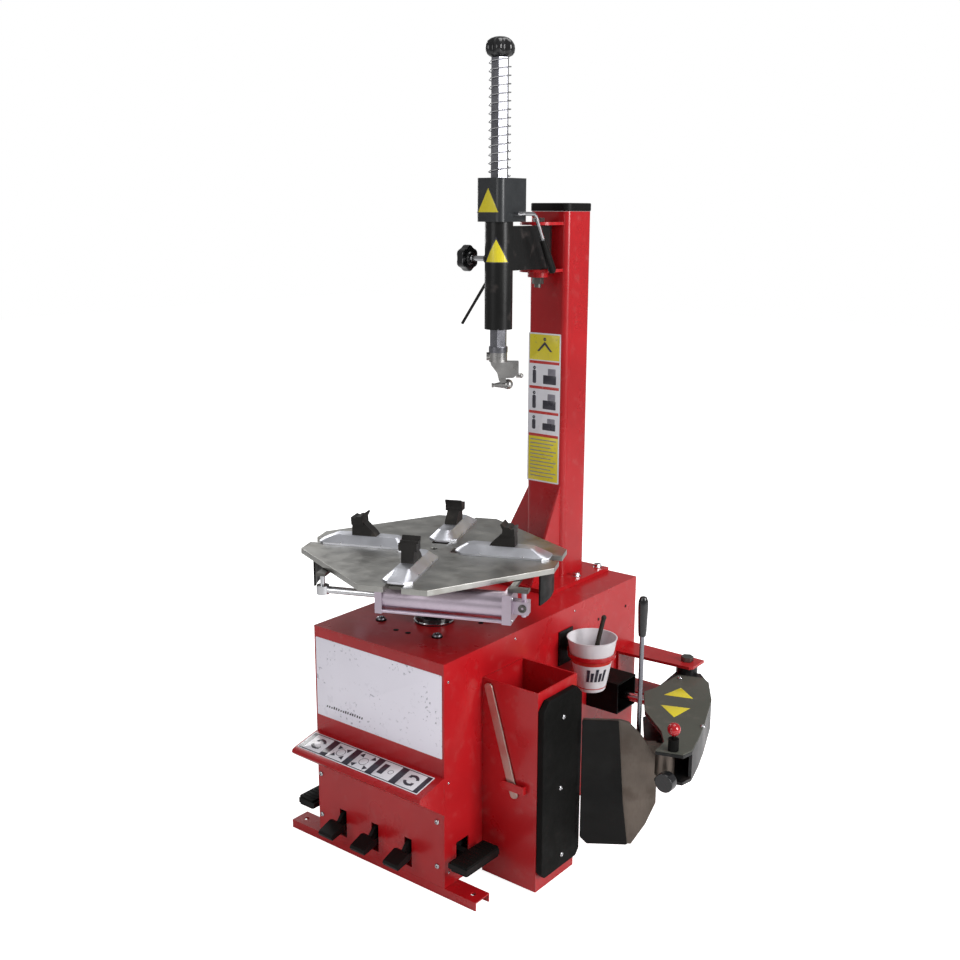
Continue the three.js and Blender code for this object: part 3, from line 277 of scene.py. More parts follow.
BLADE_STEEL = metal("blade_steel", (0.20, 0.165, 0.14), (0.13, 0.11, 0.095), rough=(0.38, 0.6),
                    grain=(6, 6, 1), stain=(0.12, 0.095, 0.08))
IRON = metal("cast_iron", (0.10, 0.11, 0.12), (0.07, 0.075, 0.08), rough=(0.5, 0.75),
             grain_scale=400, depth=0.0004, metallic=0.6)
RUBBER = moulded("rubber", (0.0025, 0.0025, 0.0022), (0.005, 0.005, 0.0045), rough=(0.5, 0.72),
                 pit=0.0003, pit_scale=260, specular=0.10)
BLACK_PLASTIC = moulded("black_plastic", (0.004, 0.004, 0.004), (0.008, 0.0075, 0.007),
                        rough=(0.35, 0.55), specular=0.16)
COVER_PLASTIC = moulded("cover_plastic", (0.022, 0.024, 0.026), (0.034, 0.036, 0.039),
                        rough=(0.26, 0.4), specular=0.4)
GLOSS_BLACK = moulded("gloss_black", (0.009, 0.009, 0.010), (0.015, 0.015, 0.016),
                      rough=(0.12, 0.26), pit=0.00003, coat=0.6)
WHITE_PLASTIC = moulded("white_plastic", (0.74, 0.72, 0.75), (0.64, 0.61, 0.64),
                        rough=(0.25, 0.4), pit=0.00005)
RED_PLASTIC = moulded("red_plastic", (0.42, 0.008, 0.014), (0.34, 0.006, 0.01),
                      rough=(0.12, 0.25), pit=0.00002, coat=0.7)
BRISTLE = moulded("bristle", (0.018, 0.015, 0.012), (0.03, 0.026, 0.02), rough=(0.6, 0.8),
                  pit=0.0012, pit_scale=180)
LABEL_WHITE = printed("label_white", (0.92, 0.89, 0.99), (0.36, 0.35, 0.42), amount=0.8)
LABEL_PLAIN = printed("label_plain", (0.78, 0.77, 0.82), (0.4, 0.4, 0.4))
LABEL_DARK = printed("label_dark", (0.030, 0.027, 0.042), (0.2, 0.2, 0.2))
LABEL_GREY = printed("label_grey", (0.24, 0.23, 0.27), (0.2, 0.2, 0.2))
LABEL_YELLOW = printed("label_yellow", (0.74, 0.62, 0.02), (0.2, 0.2, 0.1), amount=0.3)
LABEL_RED = printed("label_red", (0.55, 0.03, 0.02), (0.6, 0.5, 0.5), amount=0.2)


# ---------------------------------------------------------------- CAD nodes


def finish_node(name, material, bevel=1.2):
    """Dresses a CAD node: welded corners, softened edges and a procedural material."""
    node = nodes[name]
    mesh = node.data
    mesh.materials.clear()
    mesh.materials.append(material)
    for polygon in mesh.polygons:
        polygon.use_smooth = True
        polygon.material_index = 0
    weld = node.modifiers.new("weld", "WELD")
    weld.merge_threshold = 0.00002
    flatten = node.modifiers.new("flatten", "DECIMATE")
    flatten.decimate_type = "DISSOLVE"
    flatten.angle_limit = math.radians(0.5)
    soften = node.modifiers.new("soften", "BEVEL")
    soften.width = bevel / 1000
    soften.segments = 2
    soften.limit_method = "ANGLE"
    soften.angle_limit = math.radians(32)
    soften.harden_normals = False
    crease = node.modifiers.new("crease", "EDGE_SPLIT")
    crease.split_angle = math.radians(40)
    shading = node.modifiers.new("shading", "WEIGHTED_NORMAL")
    shading.weight = 100
    return node


def second_material(name, material, chosen):
    """Gives the faces whose middle passes the test `chosen(x, y, z)`, in millimetres."""
    mesh = nodes[name].data
    mesh.materials.append(material)
    index = len(mesh.materials) - 1
    for polygon in mesh.polygons:
        middle = (polygon.center - at(0, 0, 0)) * 1000
        if chosen(middle.x, middle.y, middle.z):
            polygon.material_index = index


NODE_FINISH = {
    RED: ["base_frame", "front_panel", "left_panel", "cabinet_shell", "tyre_support", "post",
          "bucket_holder", "breaker_bracket"],
    BLACK_PAINT: ["swing_arm", "breaker_arm", "belt_guard"],
    OLIVE: ["breaker_cover"],
    GREY_ENAMEL: ["motor"],
    TABLE_STEEL: ["turntable"],
    COVER_STEEL: ["slide_right", "slide_back", "slide_left", "slide_front"],
    DARK_STEEL: ["arm_pin", "breaker_pin", "star_plate", "link_right", "link_back",
                 "link_left", "link_front", "pedal_shaft"],
    CHROME: ["clamp_rod_near", "clamp_rod_far", "ram_rod", "lock_lever"],
    SHAFT_STEEL: ["hex_shaft", "breaker_handle"],
    LEVER_STEEL: ["tyre_lever"],
    CAST_BRIGHT: ["mount_head"],
    TUBE_ALLOY: ["clamp_tube_near", "clamp_tube_far", "ram_tube"],
    BLADE_STEEL: ["breaker_blade"],
    IRON: ["gearbox"],
    RUBBER: ["tyre_pad", "control_boot", "rod_guard"],
    COVER_PLASTIC: ["lock_cover"],
    BLACK_PLASTIC: ["post_cap", "guard_left", "guard_right", "pedal_front_1",
                    "pedal_front_2", "pedal_front_3", "pedal_left", "pedal_right",
                    "blade_shoe"],
    GLOSS_BLACK: ["table_hub", "side_knob", "adjust_knob"],
    WHITE_PLASTIC: ["bucket"],
    RED_PLASTIC: ["control_ball"],
    BRISTLE: ["brush"],
}
SOFT_EDGES = {
    "lock_cover": 7.0, "top_knob": 5.0, "side_knob": 4.0, "pedal_front_1": 3.0,
    "pedal_front_2": 3.0, "pedal_front_3": 3.0, "pedal_left": 3.0, "pedal_right": 3.0,
    "tyre_pad": 2.5, "blade_shoe": 2.0, "mount_head": 3.0, "adjust_knob": 3.0,
    "breaker_arm": 2.0, "post_cap": 3.0, "brush": 2.0, "hex_shaft": 1.6, "tyre_lever": 1.5,
    "cabinet_shell": 1.8, "front_panel": 1.6, "tyre_support": 1.8, "post": 2.5,
    "slide_right": 2.0, "slide_back": 2.0, "slide_left": 2.0, "slide_front": 2.0,
    "turntable": 1.0, "gearbox": 6.0, "motor": 4.0, "belt_guard": 8.0,
}
for finish, names in NODE_FINISH.items():
    for node_name in names:
        finish_node(node_name, finish, SOFT_EDGES.get(node_name, 1.0))

COVER_TOP = TABLE_TOP + 24.5
for direction in ("right", "back", "left", "front"):
    second_material(f"slide_{direction}", JAW_BLACK, lambda x, y, z: z > COVER_TOP + 0.6)
    second_material(f"slide_{direction}", DARK_STEEL, lambda x, y, z: z < TABLE_TOP - 1)
second_material("lock_lever", BLACK_PLASTIC, lambda x, y, z: y > 362)
second_material("breaker_handle", GLOSS_BLACK, lambda x, y, z: z > 627)
second_material("side_knob", CHROME, lambda x, y, z: x > TOOL_X - 86)
second_material("control_ball", RUBBER, lambda x, y, z: z < 416)
second_material("bucket_holder", BLACK_PAINT, lambda x, y, z: x < 221.5)
second_material("adjust_knob", DARK_STEEL, lambda x, y, z: y > 111)


# ---------------------------------------------------------------- mesh helpers


def local_frame(origin, right, normal):
    """Matrix from a local (right, up, normal) frame in millimetres to the row frame."""
    w = Vector(normal).normalized()
    u = Vector(right)
    u = (u - w * u.dot(w)).normalized()
    v = w.cross(u)
    matrix = Matrix((u, v, w)).transposed().to_4x4()
    matrix.translation = at(*origin)
    return matrix @ Matrix.Scale(0.001, 4)


def new_piece(name, mesh_data, materials, body, bevel=0.0):
    for material in materials:
        mesh_data.materials.append(material)
    piece = bpy.data.objects.new(name, mesh_data)
    scene.collection.objects.link(piece)
    for polygon in mesh_data.polygons:
        polygon.use_smooth = True
    if bevel:
        soften = piece.modifiers.new("soften", "BEVEL")
        soften.width = bevel / 1000
        soften.segments = 2
        soften.limit_method = "ANGLE"
        soften.angle_limit = math.radians(32)
    crease = piece.modifiers.new("crease", "EDGE_SPLIT")
    crease.split_angle = math.radians(40)
    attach(piece, body)
    return piece


def add_slab(mesh, outline, low, high, matrix, material_index=0):
    """Extrudes a local outline between two heights and adds it to the mesh."""
    bottom = [mesh.verts.new(matrix @ Vector((x, y, low))) for x, y in outline]
    top = [mesh.verts.new(matrix @ Vector((x, y, high))) for x, y in outline]
    faces = [mesh.faces.new(list(reversed(bottom))), mesh.faces.new(top)]
    count = len(outline)
    for i in range(count):
        j = (i + 1) % count
        faces.append(mesh.faces.new((bottom[i], bottom[j], top[j], top[i])))
    for face in faces:
        face.material_index = material_index


def add_turned(mesh, profile, matrix, sides=24, material_index=0):
    """Turns a closed (radius, height) profile about the local normal."""
    rings = []
    for i in range(sides):
        angle = 2 * math.pi * i / sides
        ring = []
        for radius, height in profile:
            point = Vector((radius * math.cos(angle), radius * math.sin(angle), height))
            ring.append(mesh.verts.new(matrix @ point))
        rings.append(ring)
    count = len(profile)
    for i in range(sides):
        ring = rings[i]
        following = rings[(i + 1) % sides]
        for k in range(count):
            n = (k + 1) % count
            face = mesh.faces.new((ring[k], following[k], following[n], ring[n]))
            face.material_index = material_index


def to_mesh(name, mesh):
    bmesh.ops.recalc_face_normals(mesh, faces=mesh.faces)
    data = bpy.data.meshes.new(name)
    mesh.to_mesh(data)
    mesh.free()
    return data


def rectangle(x0, x1, y0, y1, corner=0.0, steps=4):
    if not corner:
        return [(x0, y0), (x1, y0), (x1, y1), (x0, y1)]
    points = []
    centres = [(x1 - corner, y0 + corner, -90), (x1 - corner, y1 - corner, 0),
               (x0 + corner, y1 - corner, 90), (x0 + corner, y0 + corner, 180)]
    for cx, cy, start in centres:
        for i in range(steps + 1):
            angle = math.radians(start + 90 * i / steps)
            points.append((cx + corner * math.cos(angle), cy + corner * math.sin(angle)))
    return points


def ring_part(cx, cy, inner, outer, start, end, steps=10):
    """Outline of a bent band, as an open ring from one angle to another."""
    points = []
    for i in range(steps + 1):
        angle = math.radians(start + (end - start) * i / steps)
        points.append((cx + outer * math.cos(angle), cy + outer * math.sin(angle)))
    for i in range(steps, -1, -1):
        angle = math.radians(start + (end - start) * i / steps)
        points.append((cx + inner * math.cos(angle), cy + inner * math.sin(angle)))
    return points


def hexagon(radius, turn=0.0):
    return [(radius * math.cos(math.radians(turn + 60 * i)),
             radius * math.sin(math.radians(turn + 60 * i))) for i in range(6)]


def add_bolt(mesh, matrix, size, turn=0.0):
    """Washer and hexagon head with a turned crown on it."""
    add_turned(mesh, [(size * 0.3, 0), (size * 1.15, 0), (size * 1.15, size * 0.10),
                      (size * 1.05, size * 0.16), (size * 0.3, size * 0.16)], matrix, 20)
    add_slab(mesh, hexagon(size * 0.95, turn), size * 0.15, size * 0.72, matrix)
    add_turned(mesh, [(size * 0.05, size * 0.6), (size * 0.78, size * 0.6),
                      (size * 0.74, size * 0.80), (size * 0.05, size * 0.84)], matrix, 18)


def add_dome(mesh, matrix, size):
    """Low domed screw head with a socket in it."""
    add_turned(mesh, [(size * 0.3, 0), (size, 0), (size * 0.97, size * 0.25), (size * 0.8, size * 0.48),
                      (size * 0.5, size * 0.6), (size * 0.34, size * 0.6), (size * 0.30, size * 0.3)],
               matrix, 20)
    add_slab(mesh, hexagon(size * 0.31), 0, size * 0.22, matrix)


def bolts(name, places, right, normal, size, body, material=CHROME, shape=add_bolt):
    mesh = bmesh.new()
    for place in places:
        shape(mesh, local_frame(place, right, normal), size)
    return new_piece(name, to_mesh(name, mesh), [material], body, bevel=0.4)


X_AXIS = (1, 0, 0)
Y_AXIS = (0, 1, 0)
TO_FRONT = (0, -1, 0)
TO_RIGHT = (1, 0, 0)
UP = (0, 0, 1)

# ---------------------------------------------------------------- labels

# Worn plate on the cabinet front, with a row of rubbed strokes instead of lettering.
mesh = bmesh.new()
front = local_frame((0, CAB_FRONT, 0), X_AXIS, TO_FRONT)
add_slab(mesh, rectangle(-211, 211, 366, 579, 3), 0.02, 0.8, front)
random.seed(4)
for i in range(16):
    x = -178 + 8.2 * i
    z = 394
    tall = random.uniform(4.5, 8.0)
    add_slab(mesh, [(x, z), (x + random.uniform(4, 6.4), z), (x + 6.6, z + tall), (x + 2.2, z + tall)],
             0.8, 0.95, front, 1)
new_piece("front_label", to_mesh("front_label", mesh), [LABEL_WHITE, LABEL_DARK], "body",
          bevel=0.25)

# Strip of pedal pictures on the hood: white outline, dark ground, five white tiles.
HOOD_SLOPE = math.atan2(319 - 301, 299 - 220)
hood_normal = (0, -math.sin(HOOD_SLOPE), math.cos(HOOD_SLOPE))
hood = local_frame((0, -220, 319), X_AXIS, hood_normal)
STRIP = {"x0": -212, "x1": 197, "y0": -80, "y1": -11}
mesh = bmesh.new()
add_slab(mesh, rectangle(STRIP["x0"], STRIP["x1"], STRIP["y0"], STRIP["y1"], 2), 0.05, 0.5, hood, 0)
add_slab(mesh, rectangle(STRIP["x0"] + 3, STRIP["x1"] - 3, STRIP["y0"] + 3, STRIP["y1"] - 3, 1),
         0.5, 0.7, hood, 1)
TILE = 58
TILE_STEP = 79
middle_y = (STRIP["y0"] + STRIP["y1"]) / 2


def tile_centre(i):
    return (STRIP["x0"] + STRIP["x1"]) / 2 + (i - 2) * TILE_STEP


for i in range(5):
    x = tile_centre(i)
    add_slab(mesh, rectangle(x - TILE / 2, x + TILE / 2, middle_y - TILE / 2, middle_y + TILE / 2, 2),
             0.7, 0.9, hood, 0)


def turning_arrows(x):
    for start in (20, 200):
        add_slab(mesh, ring_part(x, middle_y, 12, 20, start, start + 110), 0.9, 1.05, hood, 1)
        tip = math.radians(start + 138)
        foot = math.radians(start + 105)
        add_slab(mesh, [(x + 9 * math.cos(foot), middle_y + 9 * math.sin(foot)),
                        (x + 23 * math.cos(foot), middle_y + 23 * math.sin(foot)),
                        (x + 16 * math.cos(tip), middle_y + 16 * math.sin(tip))], 0.9, 1.05, hood, 1)


def corner_wedges(x, outward):
    add_slab(mesh, ring_part(x, middle_y, 11.5, 13, 0, 350, 28), 0.9, 1.0, hood, 1)
    for i in range(4):
        angle = math.radians(45 + 90 * i)
        along = Vector((math.cos(angle), math.sin(angle)))
        across = Vector((-along.y, along.x))
        near, far = (16, 31) if outward else (31, 16)
        base = Vector((x, middle_y)) + along * near
        tip = Vector((x, middle_y)) + along * far
        half = 7.5
        add_slab(mesh, [tuple(base + across * half), tuple(base - across * half), tuple(tip)],
                 0.9, 1.05, hood, 1)


turning_arrows(tile_centre(0))
corner_wedges(tile_centre(1), True)
corner_wedges(tile_centre(2), False)
bar_x = tile_centre(3)
add_slab(mesh, rectangle(bar_x - 22, bar_x - 5, middle_y - 17, middle_y + 20, 1), 0.9, 1.05, hood, 1)
add_slab(mesh, ring_part(bar_x + 12, middle_y, 6, 8, 0, 350, 20), 0.9, 1.05, hood, 2)
turning_arrows(tile_centre(4))
new_piece("pedal_label", to_mesh("pedal_label", mesh), [LABEL_PLAIN, LABEL_DARK, LABEL_GREY], "body",
          bevel=0.1)

# Plain blocks on the front of the post.
post_front = local_frame((0, POST_FRONT, 0), X_AXIS, TO_FRONT)
mesh = bmesh.new()
add_slab(mesh, rectangle(-55, 54, 889, 1313, 3), 0.02, 0.4, post_front, 0)
add_slab(mesh, rectangle(-51, 50, 1238, 1309, 1), 0.4, 0.55, post_front, 1)
add_slab(mesh, rectangle(-51, 50, 893, 1020, 1), 0.4, 0.55, post_front, 1)
for top in (1235, 1164, 1093, 1028):
    add_slab(mesh, rectangle(-51, 50, top - 8, top, 0), 0.4, 0.55, post_front, 2)
for top in (1221, 1150, 1080):
    tall = 50 if top > 1100 else 40
    add_slab(mesh, rectangle(-4, 40, top - tall, top - tall / 2, 2), 0.4, 0.55, post_front, 3)
    add_slab(mesh, rectangle(12, 38, top - tall / 2, top - 6, 2), 0.4, 0.5, post_front, 4)
    add_slab(mesh, rectangle(-40, -28, top - tall, top - 12, 4), 0.4, 0.55, post_front, 3)
    add_slab(mesh, ring_part(-34, top - 6, 1, 5, 0, 350, 12), 0.4, 0.55, post_front, 3)
add_slab(mesh, [(-26, 1262), (0, 1290), (26, 1262), (18, 1262), (0, 1280), (-18, 1262)],
         0.55, 0.65, post_front, 3)
add_slab(mesh, ring_part(0, 1296, 1, 5, 0, 350, 12), 0.55, 0.65, post_front, 3)
for i in range(11):
    z = 1012 - 10.5 * i
    add_slab(mesh, rectangle(-45, 44 - 9 * (i % 3), z - 3, z, 0), 0.55, 0.6, post_front, 4)
new_piece("post_label", to_mesh("post_label", mesh),
          [LABEL_PLAIN, LABEL_YELLOW, LABEL_RED, LABEL_DARK, LABEL_GREY], "body", bevel=0.1)


def triangle(half, tall, inset=0.0):
    return [(-half + 1.7 * inset, inset), (half - 1.7 * inset, inset), (0, tall - 2 * inset)]


# Plain yellow triangles with a dark edge.
mesh = bmesh.new()
cover_low_y = (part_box("lock_cover")[0].y - CENTRE_Y) * 1000
cover_front = local_frame((5, cover_low_y, 1638), X_AXIS, TO_FRONT)
add_slab(mesh, triangle(36, 66), 0.1, 0.4, cover_front, 1)
add_slab(mesh, triangle(36, 66, 2.2), 0.4, 0.6, cover_front, 0)
new_piece("cover_label", to_mesh("cover_label", mesh), [LABEL_YELLOW, LABEL_DARK], "arm",
          bevel=0.1)


def wrapped_triangle(mesh, radius, centre_angle, z_low, half, tall, lift, index):
    """Triangle laid round the sleeve, in vertical strips."""
    columns = 12
    for i in range(columns):
        left = -half + 2 * half * i / columns
        right = -half + 2 * half * (i + 1) / columns
        corners = []
        for offset in (left, right):
            angle = centre_angle + offset / radius
            height = max(0.4, tall * (1 - abs(offset) / half))
            corners.append((angle, height))
        points = []
        for r in (radius + lift, radius + lift + 0.25):
            for angle, height in corners:
                x = TOOL_X + r * math.cos(angle)
                y = TOOL_Y + r * math.sin(angle)
                points.append((mesh.verts.new(at(x, y, z_low)), mesh.verts.new(at(x, y, z_low + height))))
        (a, e), (b, f), (c, g), (d, h) = points
        for face in ((a, b, f, e), (c, d, h, g), (a, c, g, e), (b, d, h, f), (a, b, d, c), (e, f, h, g)):
            mesh.faces.new(face).material_index = index


mesh = bmesh.new()
wrapped_triangle(mesh, 36.5, math.radians(-64), 1513, 36, 66, 0.05, 1)
wrapped_triangle(mesh, 36.5, math.radians(-64), 1515.5, 31, 57, 0.32, 0)
new_piece("sleeve_label", to_mesh("sleeve_label", mesh), [LABEL_YELLOW, LABEL_DARK], "arm")

mesh = bmesh.new()
for apex, base in (((464, 488), ((451, 418), (525, 443))), ((542, 308), ((477, 355), (548, 383)))):
    flat = local_frame((0, 0, BREAKER_COVER_TOP), X_AXIS, UP)
    add_slab(mesh, [apex, *base], 0.02, 0.4, flat)
new_piece("breaker_label", to_mesh("breaker_label", mesh), [LABEL_YELLOW], "breaker",
          bevel=0.1)

# ---------------------------------------------------------------- fasteners

bolts("front_screws", [(-205, CAB_FRONT, 197), (-205, CAB_FRONT, 80), (194, CAB_FRONT, 196),
                       (194, CAB_FRONT, 77)], X_AXIS, TO_FRONT, 7, "body", shape=add_dome)
bolts("foot_bolts", [(x, y, BASE_PLATE_TOP) for x in (98, -168) for y in (515, 628)],
      X_AXIS, UP, 12, "body")
GEARBOX_CORNERS = [(-108, -86), (86, -90), (-108, 90), (108, 88)]
bolts("gearbox_bolts", [(x, y, CAB_TOP + 3) for x, y in GEARBOX_CORNERS], X_AXIS, UP, 12, "body",
      material=SHAFT_STEEL, shape=add_dome)
mesh = bmesh.new()
for x, y in GEARBOX_CORNERS:
    add_turned(mesh, [(3, 0), (14, 0), (14, 2.2), (12.6, 3.2), (3, 3.2)],
               local_frame((x, y, CAB_TOP), X_AXIS, UP))
new_piece("gearbox_washers", to_mesh("gearbox_washers", mesh), [RUBBER], "body")
bolts("pad_screws", [(402, 10, 448), (402, 2, 263), (402, 12, 78)], Y_AXIS, TO_RIGHT, 6.5, "body",
      shape=add_dome)
bolts("side_screws", [(CAB_SIDE, -205, 560), (CAB_SIDE, -205, 300), (CAB_SIDE, -205, 60),
                      (CAB_SIDE, 60, 590), (CAB_SIDE, 330, 590)], Y_AXIS, TO_RIGHT, 3.2, "body",
      shape=add_dome)
bolts("left_screws", [(-CAB_SIDE, y, z) for y in (-190, 215, 620) for z in (60, 575)], Y_AXIS,
      (-1, 0, 0), 6, "body", shape=add_dome)
bolts("cover_bolts", [(627, 304, 381), (430, 545, 381), (600, 190, 381)], X_AXIS, UP, 7, "breaker",
      shape=add_dome)


def around(radius, angle):
    turn = math.radians(angle)
    return radius * math.cos(turn), radius * math.sin(turn)


# Guide screws along both edges of each clamp cover.
for i, direction in enumerate(("right", "back", "left", "front")):
    mesh = bmesh.new()
    turn = JAW_TURN + 90 * i
    for reach, side in ((130, 33), (240, 33), (130, -33), (240, -33)):
        angle = turn + math.degrees(math.atan2(side, reach))
        x, y = around(math.hypot(reach, side), angle)
        add_dome(mesh, local_frame((x, y, TABLE_TOP + 5), X_AXIS, UP), 4.2)
    new_piece(f"cover_screws_{direction}", to_mesh("cover_screws", mesh), [CHROME],
              f"jaw_{direction}", bevel=0.3)

# Cap screws and clevis bushes of the two clamp cylinders.
for name, turn in (("near", JAW_TURN), ("far", JAW_TURN + 180)):
    spin = Matrix.Rotation(math.radians(turn), 3, "Z")
    along = spin @ Vector(X_AXIS)
    outward = spin @ Vector(TO_FRONT)
    mesh = bmesh.new()
    for y in (-27, 27):
        for z in (-27, 27):
            for x, facing in ((262, along), (-72, -along)):
                place = spin @ Vector((x, y - CYLINDER_SIDE, CYLINDER_HEIGHT + z))
                add_dome(mesh, local_frame(place, UP, facing), 4.6)
    new_piece(f"cylinder_screws_{name}", to_mesh("cylinder_screws", mesh), [CHROME],
              "jaw_right" if name == "near" else "jaw_left", bevel=0.3)
    mesh = bmesh.new()
    add_turned(mesh, [(3, 0), (10, 0), (10, 2.4), (8.5, 3.4), (6.5, 3.4), (6, 1.2), (3, 1.2)],
               local_frame(spin @ Vector((284, -CYLINDER_SIDE - 14, CYLINDER_HEIGHT)), UP, outward), 24)
    new_piece(f"clevis_bush_{name}", to_mesh("clevis_bush", mesh), [DARK_STEEL],
              "jaw_right" if name == "near" else "jaw_left")

# Rubber treads on the two side pedals.
for name, side in (("left", -1), ("right", 1)):
    low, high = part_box(f"pedal_{name}")
    outer = (high.x if side > 0 else low.x)
    centre = (outer - CENTRE_X) * 1000 - side * 26
    mesh = bmesh.new()
    add_slab(mesh, rectangle(centre - 25.6, centre + 25.6, -225, -97, 5), 83, 108,
             local_frame((0, 0, 0), X_AXIS, UP))
    for i in range(9):
        y = -214 + 13 * i
        add_slab(mesh, rectangle(centre - 20, centre + 20, y, y + 6, 1), 107.5, 109.2,
                 local_frame((0, 0, 0), X_AXIS, UP))
    new_piece(f"tread_{name}", to_mesh("tread", mesh), [RUBBER], f"pedal_{name}", bevel=3)

# Chrome rim under the hub's dust flange, and plugs in the holes of the cabinet.
mesh = bmesh.new()
add_turned(mesh, [(47, 610.4), (51.5, 610.4), (53, 613), (51.5, 615.5), (50.3, 615.5), (50.3, 612)],
           local_frame((0, 0, 0), X_AXIS, UP), 64)
new_piece("hub_rim", to_mesh("hub_rim", mesh), [CHROME], "table")

mesh = bmesh.new()
for x, y in ((-28, -117), (10, -114), (108, 58)):
    add_turned(mesh, [(0.4, 0), (7, 0), (7.4, 0.5), (6, 0.9), (0.4, 0.4)],
               local_frame((x, y, CAB_TOP), X_AXIS, UP), 20)
for y in (452, 596):
    add_turned(mesh, [(0.4, 0), (4.2, 0), (4.5, 0.4), (3.6, 0.8), (0.4, 0.3)],
               local_frame((CAB_SIDE, y, 532), Y_AXIS, TO_RIGHT), 16)
new_piece("hole_plugs", to_mesh("hole_plugs", mesh), [RUBBER], "body")

# ---------------------------------------------------------------- coil spring on the tool shaft

SPRING_LOW = 1727
SPRING_HIGH = 2014
SPRING_RADIUS = 27.4
SPRING_TURNS = 14
WIRE = 1.5
mesh = bmesh.new()
steps = SPRING_TURNS * 28
sides = 8
previous = None
first_ring = None
for i in range(steps + 1):
    share = i / steps
    angle = 2 * math.pi * SPRING_TURNS * share
    height = SPRING_LOW + WIRE + (SPRING_HIGH - SPRING_LOW - 2 * WIRE) * share
    outward = Vector((math.cos(angle), math.sin(angle), 0))
    centre = Vector((TOOL_X, TOOL_Y, height)) + outward * SPRING_RADIUS
    ring = []
    for k in range(sides):
        round_wire = 2 * math.pi * k / sides
        offset = outward * math.cos(round_wire) * WIRE + Vector(UP) * math.sin(round_wire) * WIRE
        ring.append(mesh.verts.new(at(*(centre + offset))))
    if previous:
        for k in range(sides):
            n = (k + 1) % sides
            mesh.faces.new((previous[k], previous[n], ring[n], ring[k]))
    else:
        first_ring = ring
    previous = ring
mesh.faces.new(list(reversed(first_ring)))
mesh.faces.new(previous)
spring = new_piece("coil_spring", to_mesh("coil_spring", mesh), [CHROME], "arm")
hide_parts("shaft_spring")
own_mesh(spring)

# ---------------------------------------------------------------- domed hand wheels


def add_lobed(mesh, levels, radius, depth, lobes, matrix, sides=84):
    """Stack of lobed rings, (height, share of the radius), closed at both ends."""
    rings = []
    for height, share in levels:
        ring = []
        for i in range(sides):
            angle = 2 * math.pi * i / sides
            reach = radius - depth * share * (0.5 - 0.5 * math.cos(lobes * angle)) ** 1.6
            ring.append(mesh.verts.new(matrix @ Vector((reach * share * math.cos(angle),
                                                        reach * share * math.sin(angle), height))))
        rings.append(ring)
    for low, high in zip(rings, rings[1:]):
        for i in range(sides):
            n = (i + 1) % sides
            mesh.faces.new((low[i], low[n], high[n], high[i]))
    mesh.faces.new(list(reversed(rings[0])))
    mesh.faces.new(rings[-1])


KNOB_LEVELS = [(0.4, 0.50), (2, 0.62), (6, 0.84), (13, 0.97), (22, 1.0), (31, 0.97), (39, 0.84), (45, 0.62),
               (48.5, 0.36), (49.7, 0.14)]
mesh = bmesh.new()
add_lobed(mesh, KNOB_LEVELS, 39, 9, 6, local_frame((TOOL_X, TOOL_Y, 2016), X_AXIS, UP))
top_wheel = new_piece("top_wheel", to_mesh("top_wheel", mesh), [GLOSS_BLACK], "tool_shaft")
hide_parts("top_knob")

# ---------------------------------------------------------------- paste bucket print

BUCKET_X = 291
BUCKET_Y = 305
bucket_frame = local_frame((BUCKET_X, BUCKET_Y, 0), X_AXIS, UP)


def bucket_radius(z):
    """Outer radius of the bucket's straight wall at height z."""
    return 39 + (60 - 39) * (z - 400) / (507 - 400)


def band(mesh, low, high, lift, index):
    add_turned(mesh, [(bucket_radius(low) + 0.05, low), (bucket_radius(low) + lift, low),
                      (bucket_radius(high) + lift, high), (bucket_radius(high) + 0.05, high)],
               bucket_frame, 48, index)


mesh = bmesh.new()
band(mesh, 476, 487, 0.5, 0)
band(mesh, 406, 408.5, 0.4, 0)
new_piece("bucket_bands", to_mesh("bucket_bands", mesh), [LABEL_RED], "bucket")

mesh = bmesh.new()
for start, tall in ((-74, 36), (-61, 27), (-48, 38), (-35, 25), (-22, 34)):
    low = 430
    corners = []
    for angle in (start, start + 9):
        for z in (low, low + tall):
            for lift in (0.05, 0.45):
                r = bucket_radius(z) + lift
                turn = math.radians(angle + (z - low) * 0.12)
                corners.append(mesh.verts.new(at(BUCKET_X + r * math.cos(turn),
                                                 BUCKET_Y + r * math.sin(turn), z)))
    a, b, c, d, e, f, g, h = corners
    for face in ((a, b, d, c), (e, g, h, f), (a, e, f, b), (c, d, h, g), (a, c, g, e), (b, f, h, d)):
        mesh.faces.new(face)
new_piece("bucket_marks", to_mesh("bucket_marks", mesh), [LABEL_DARK], "bucket")

# ---------------------------------------------------------------- floor and light

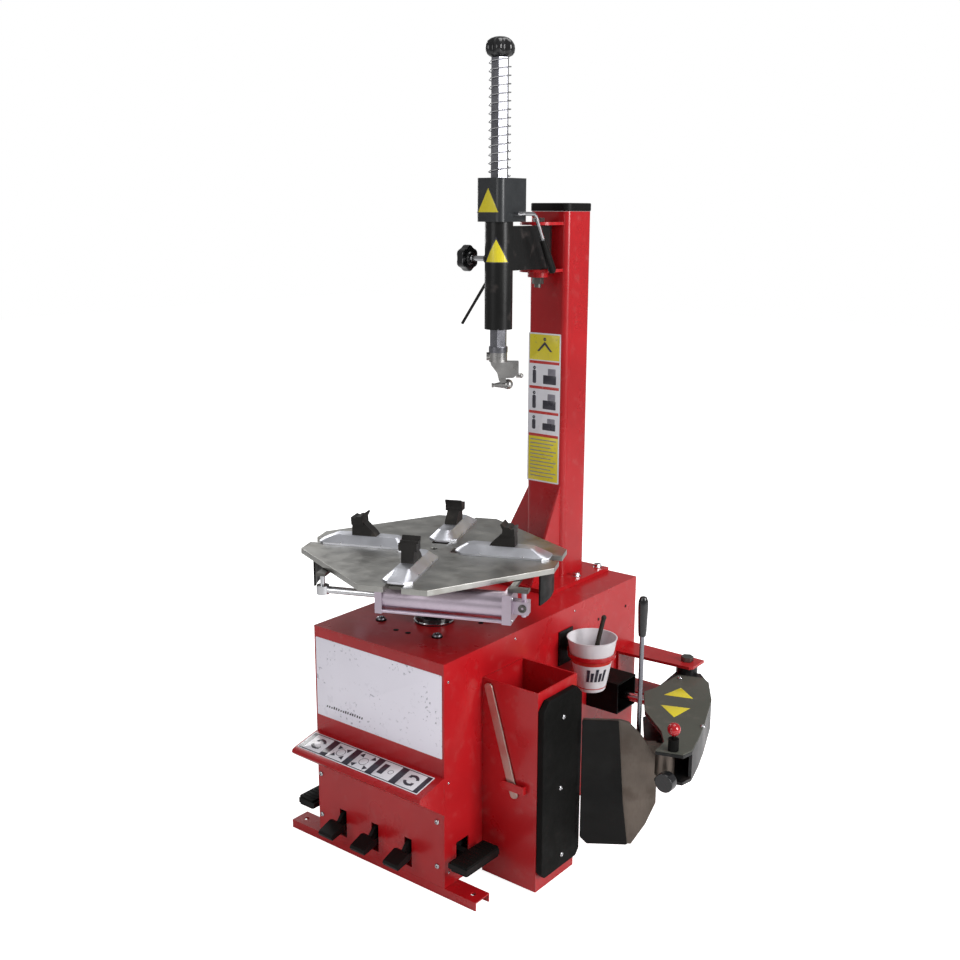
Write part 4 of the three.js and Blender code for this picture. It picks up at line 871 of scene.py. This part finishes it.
bpy.ops.mesh.primitive_plane_add(size=30, location=(0, 0, 0))
floor = bpy.context.object
floor.name = "floor"
studio = Surface("studio_floor")
studio_tone = studio.spread(studio.noise(0.6), 0.3, 0.7)
studio.colour(studio.mix(studio_tone, rgb(0.94, 0.94, 0.94), rgb(0.92, 0.92, 0.92)))
studio.roughness(0.8)
studio.shader.inputs["Emission Color"].default_value = rgb(1.0, 1.0, 1.0)
studio_seen = studio.node("ShaderNodeLightPath").outputs["Is Camera Ray"]
studio.feed(studio.shader.inputs["Emission Strength"], studio.times(studio_seen, 0.9))
floor.data.materials.append(studio.material)


def area_light(name, place, target, size, power, colour=(1, 1, 1)):
    data = bpy.data.lights.new(name, "AREA")
    data.shape = "RECTANGLE"
    data.size = size[0]
    data.size_y = size[1]
    data.energy = power
    data.color = colour
    light = bpy.data.objects.new(name, data)
    light.location = place
    light.rotation_euler = (Vector(target) - Vector(place)).to_track_quat("-Z", "Y").to_euler()
    scene.collection.objects.link(light)


area_light("key", (4.6, 0.2, 2.6), (0.1, 0, 0.8), (1.8, 2.6), 210)
area_light("front_fill", (-1.0, -4.4, 2.4), (0, 0, 0.8), (2.4, 2.2), 46)
area_light("overhead", (0.6, 0.9, 4.8), (0, 0, 0.6), (2.4, 2.4), 60)
area_light("left_rim", (-3.6, 1.6, 2.4), (0, 0, 1.0), (0.9, 2.4), 34)

# The backdrop is white for the camera and dimmer as a source of light.
world = bpy.data.worlds.new("studio")
world.use_nodes = True
background = world.node_tree.nodes["Background"]
background.inputs["Color"].default_value = rgb(1.0, 1.0, 1.0)
seen = world.node_tree.nodes.new("ShaderNodeLightPath")
brightness = world.node_tree.nodes.new("ShaderNodeMapRange")
brightness.inputs["To Min"].default_value = 0.26
brightness.inputs["To Max"].default_value = 1.0
world.node_tree.links.new(seen.outputs["Is Camera Ray"], brightness.inputs["Value"])
world.node_tree.links.new(brightness.outputs["Result"], background.inputs["Strength"])
scene.world = world
scene.view_settings.view_transform = "Standard"

# ---------------------------------------------------------------- final update

bpy.context.view_layer.update()
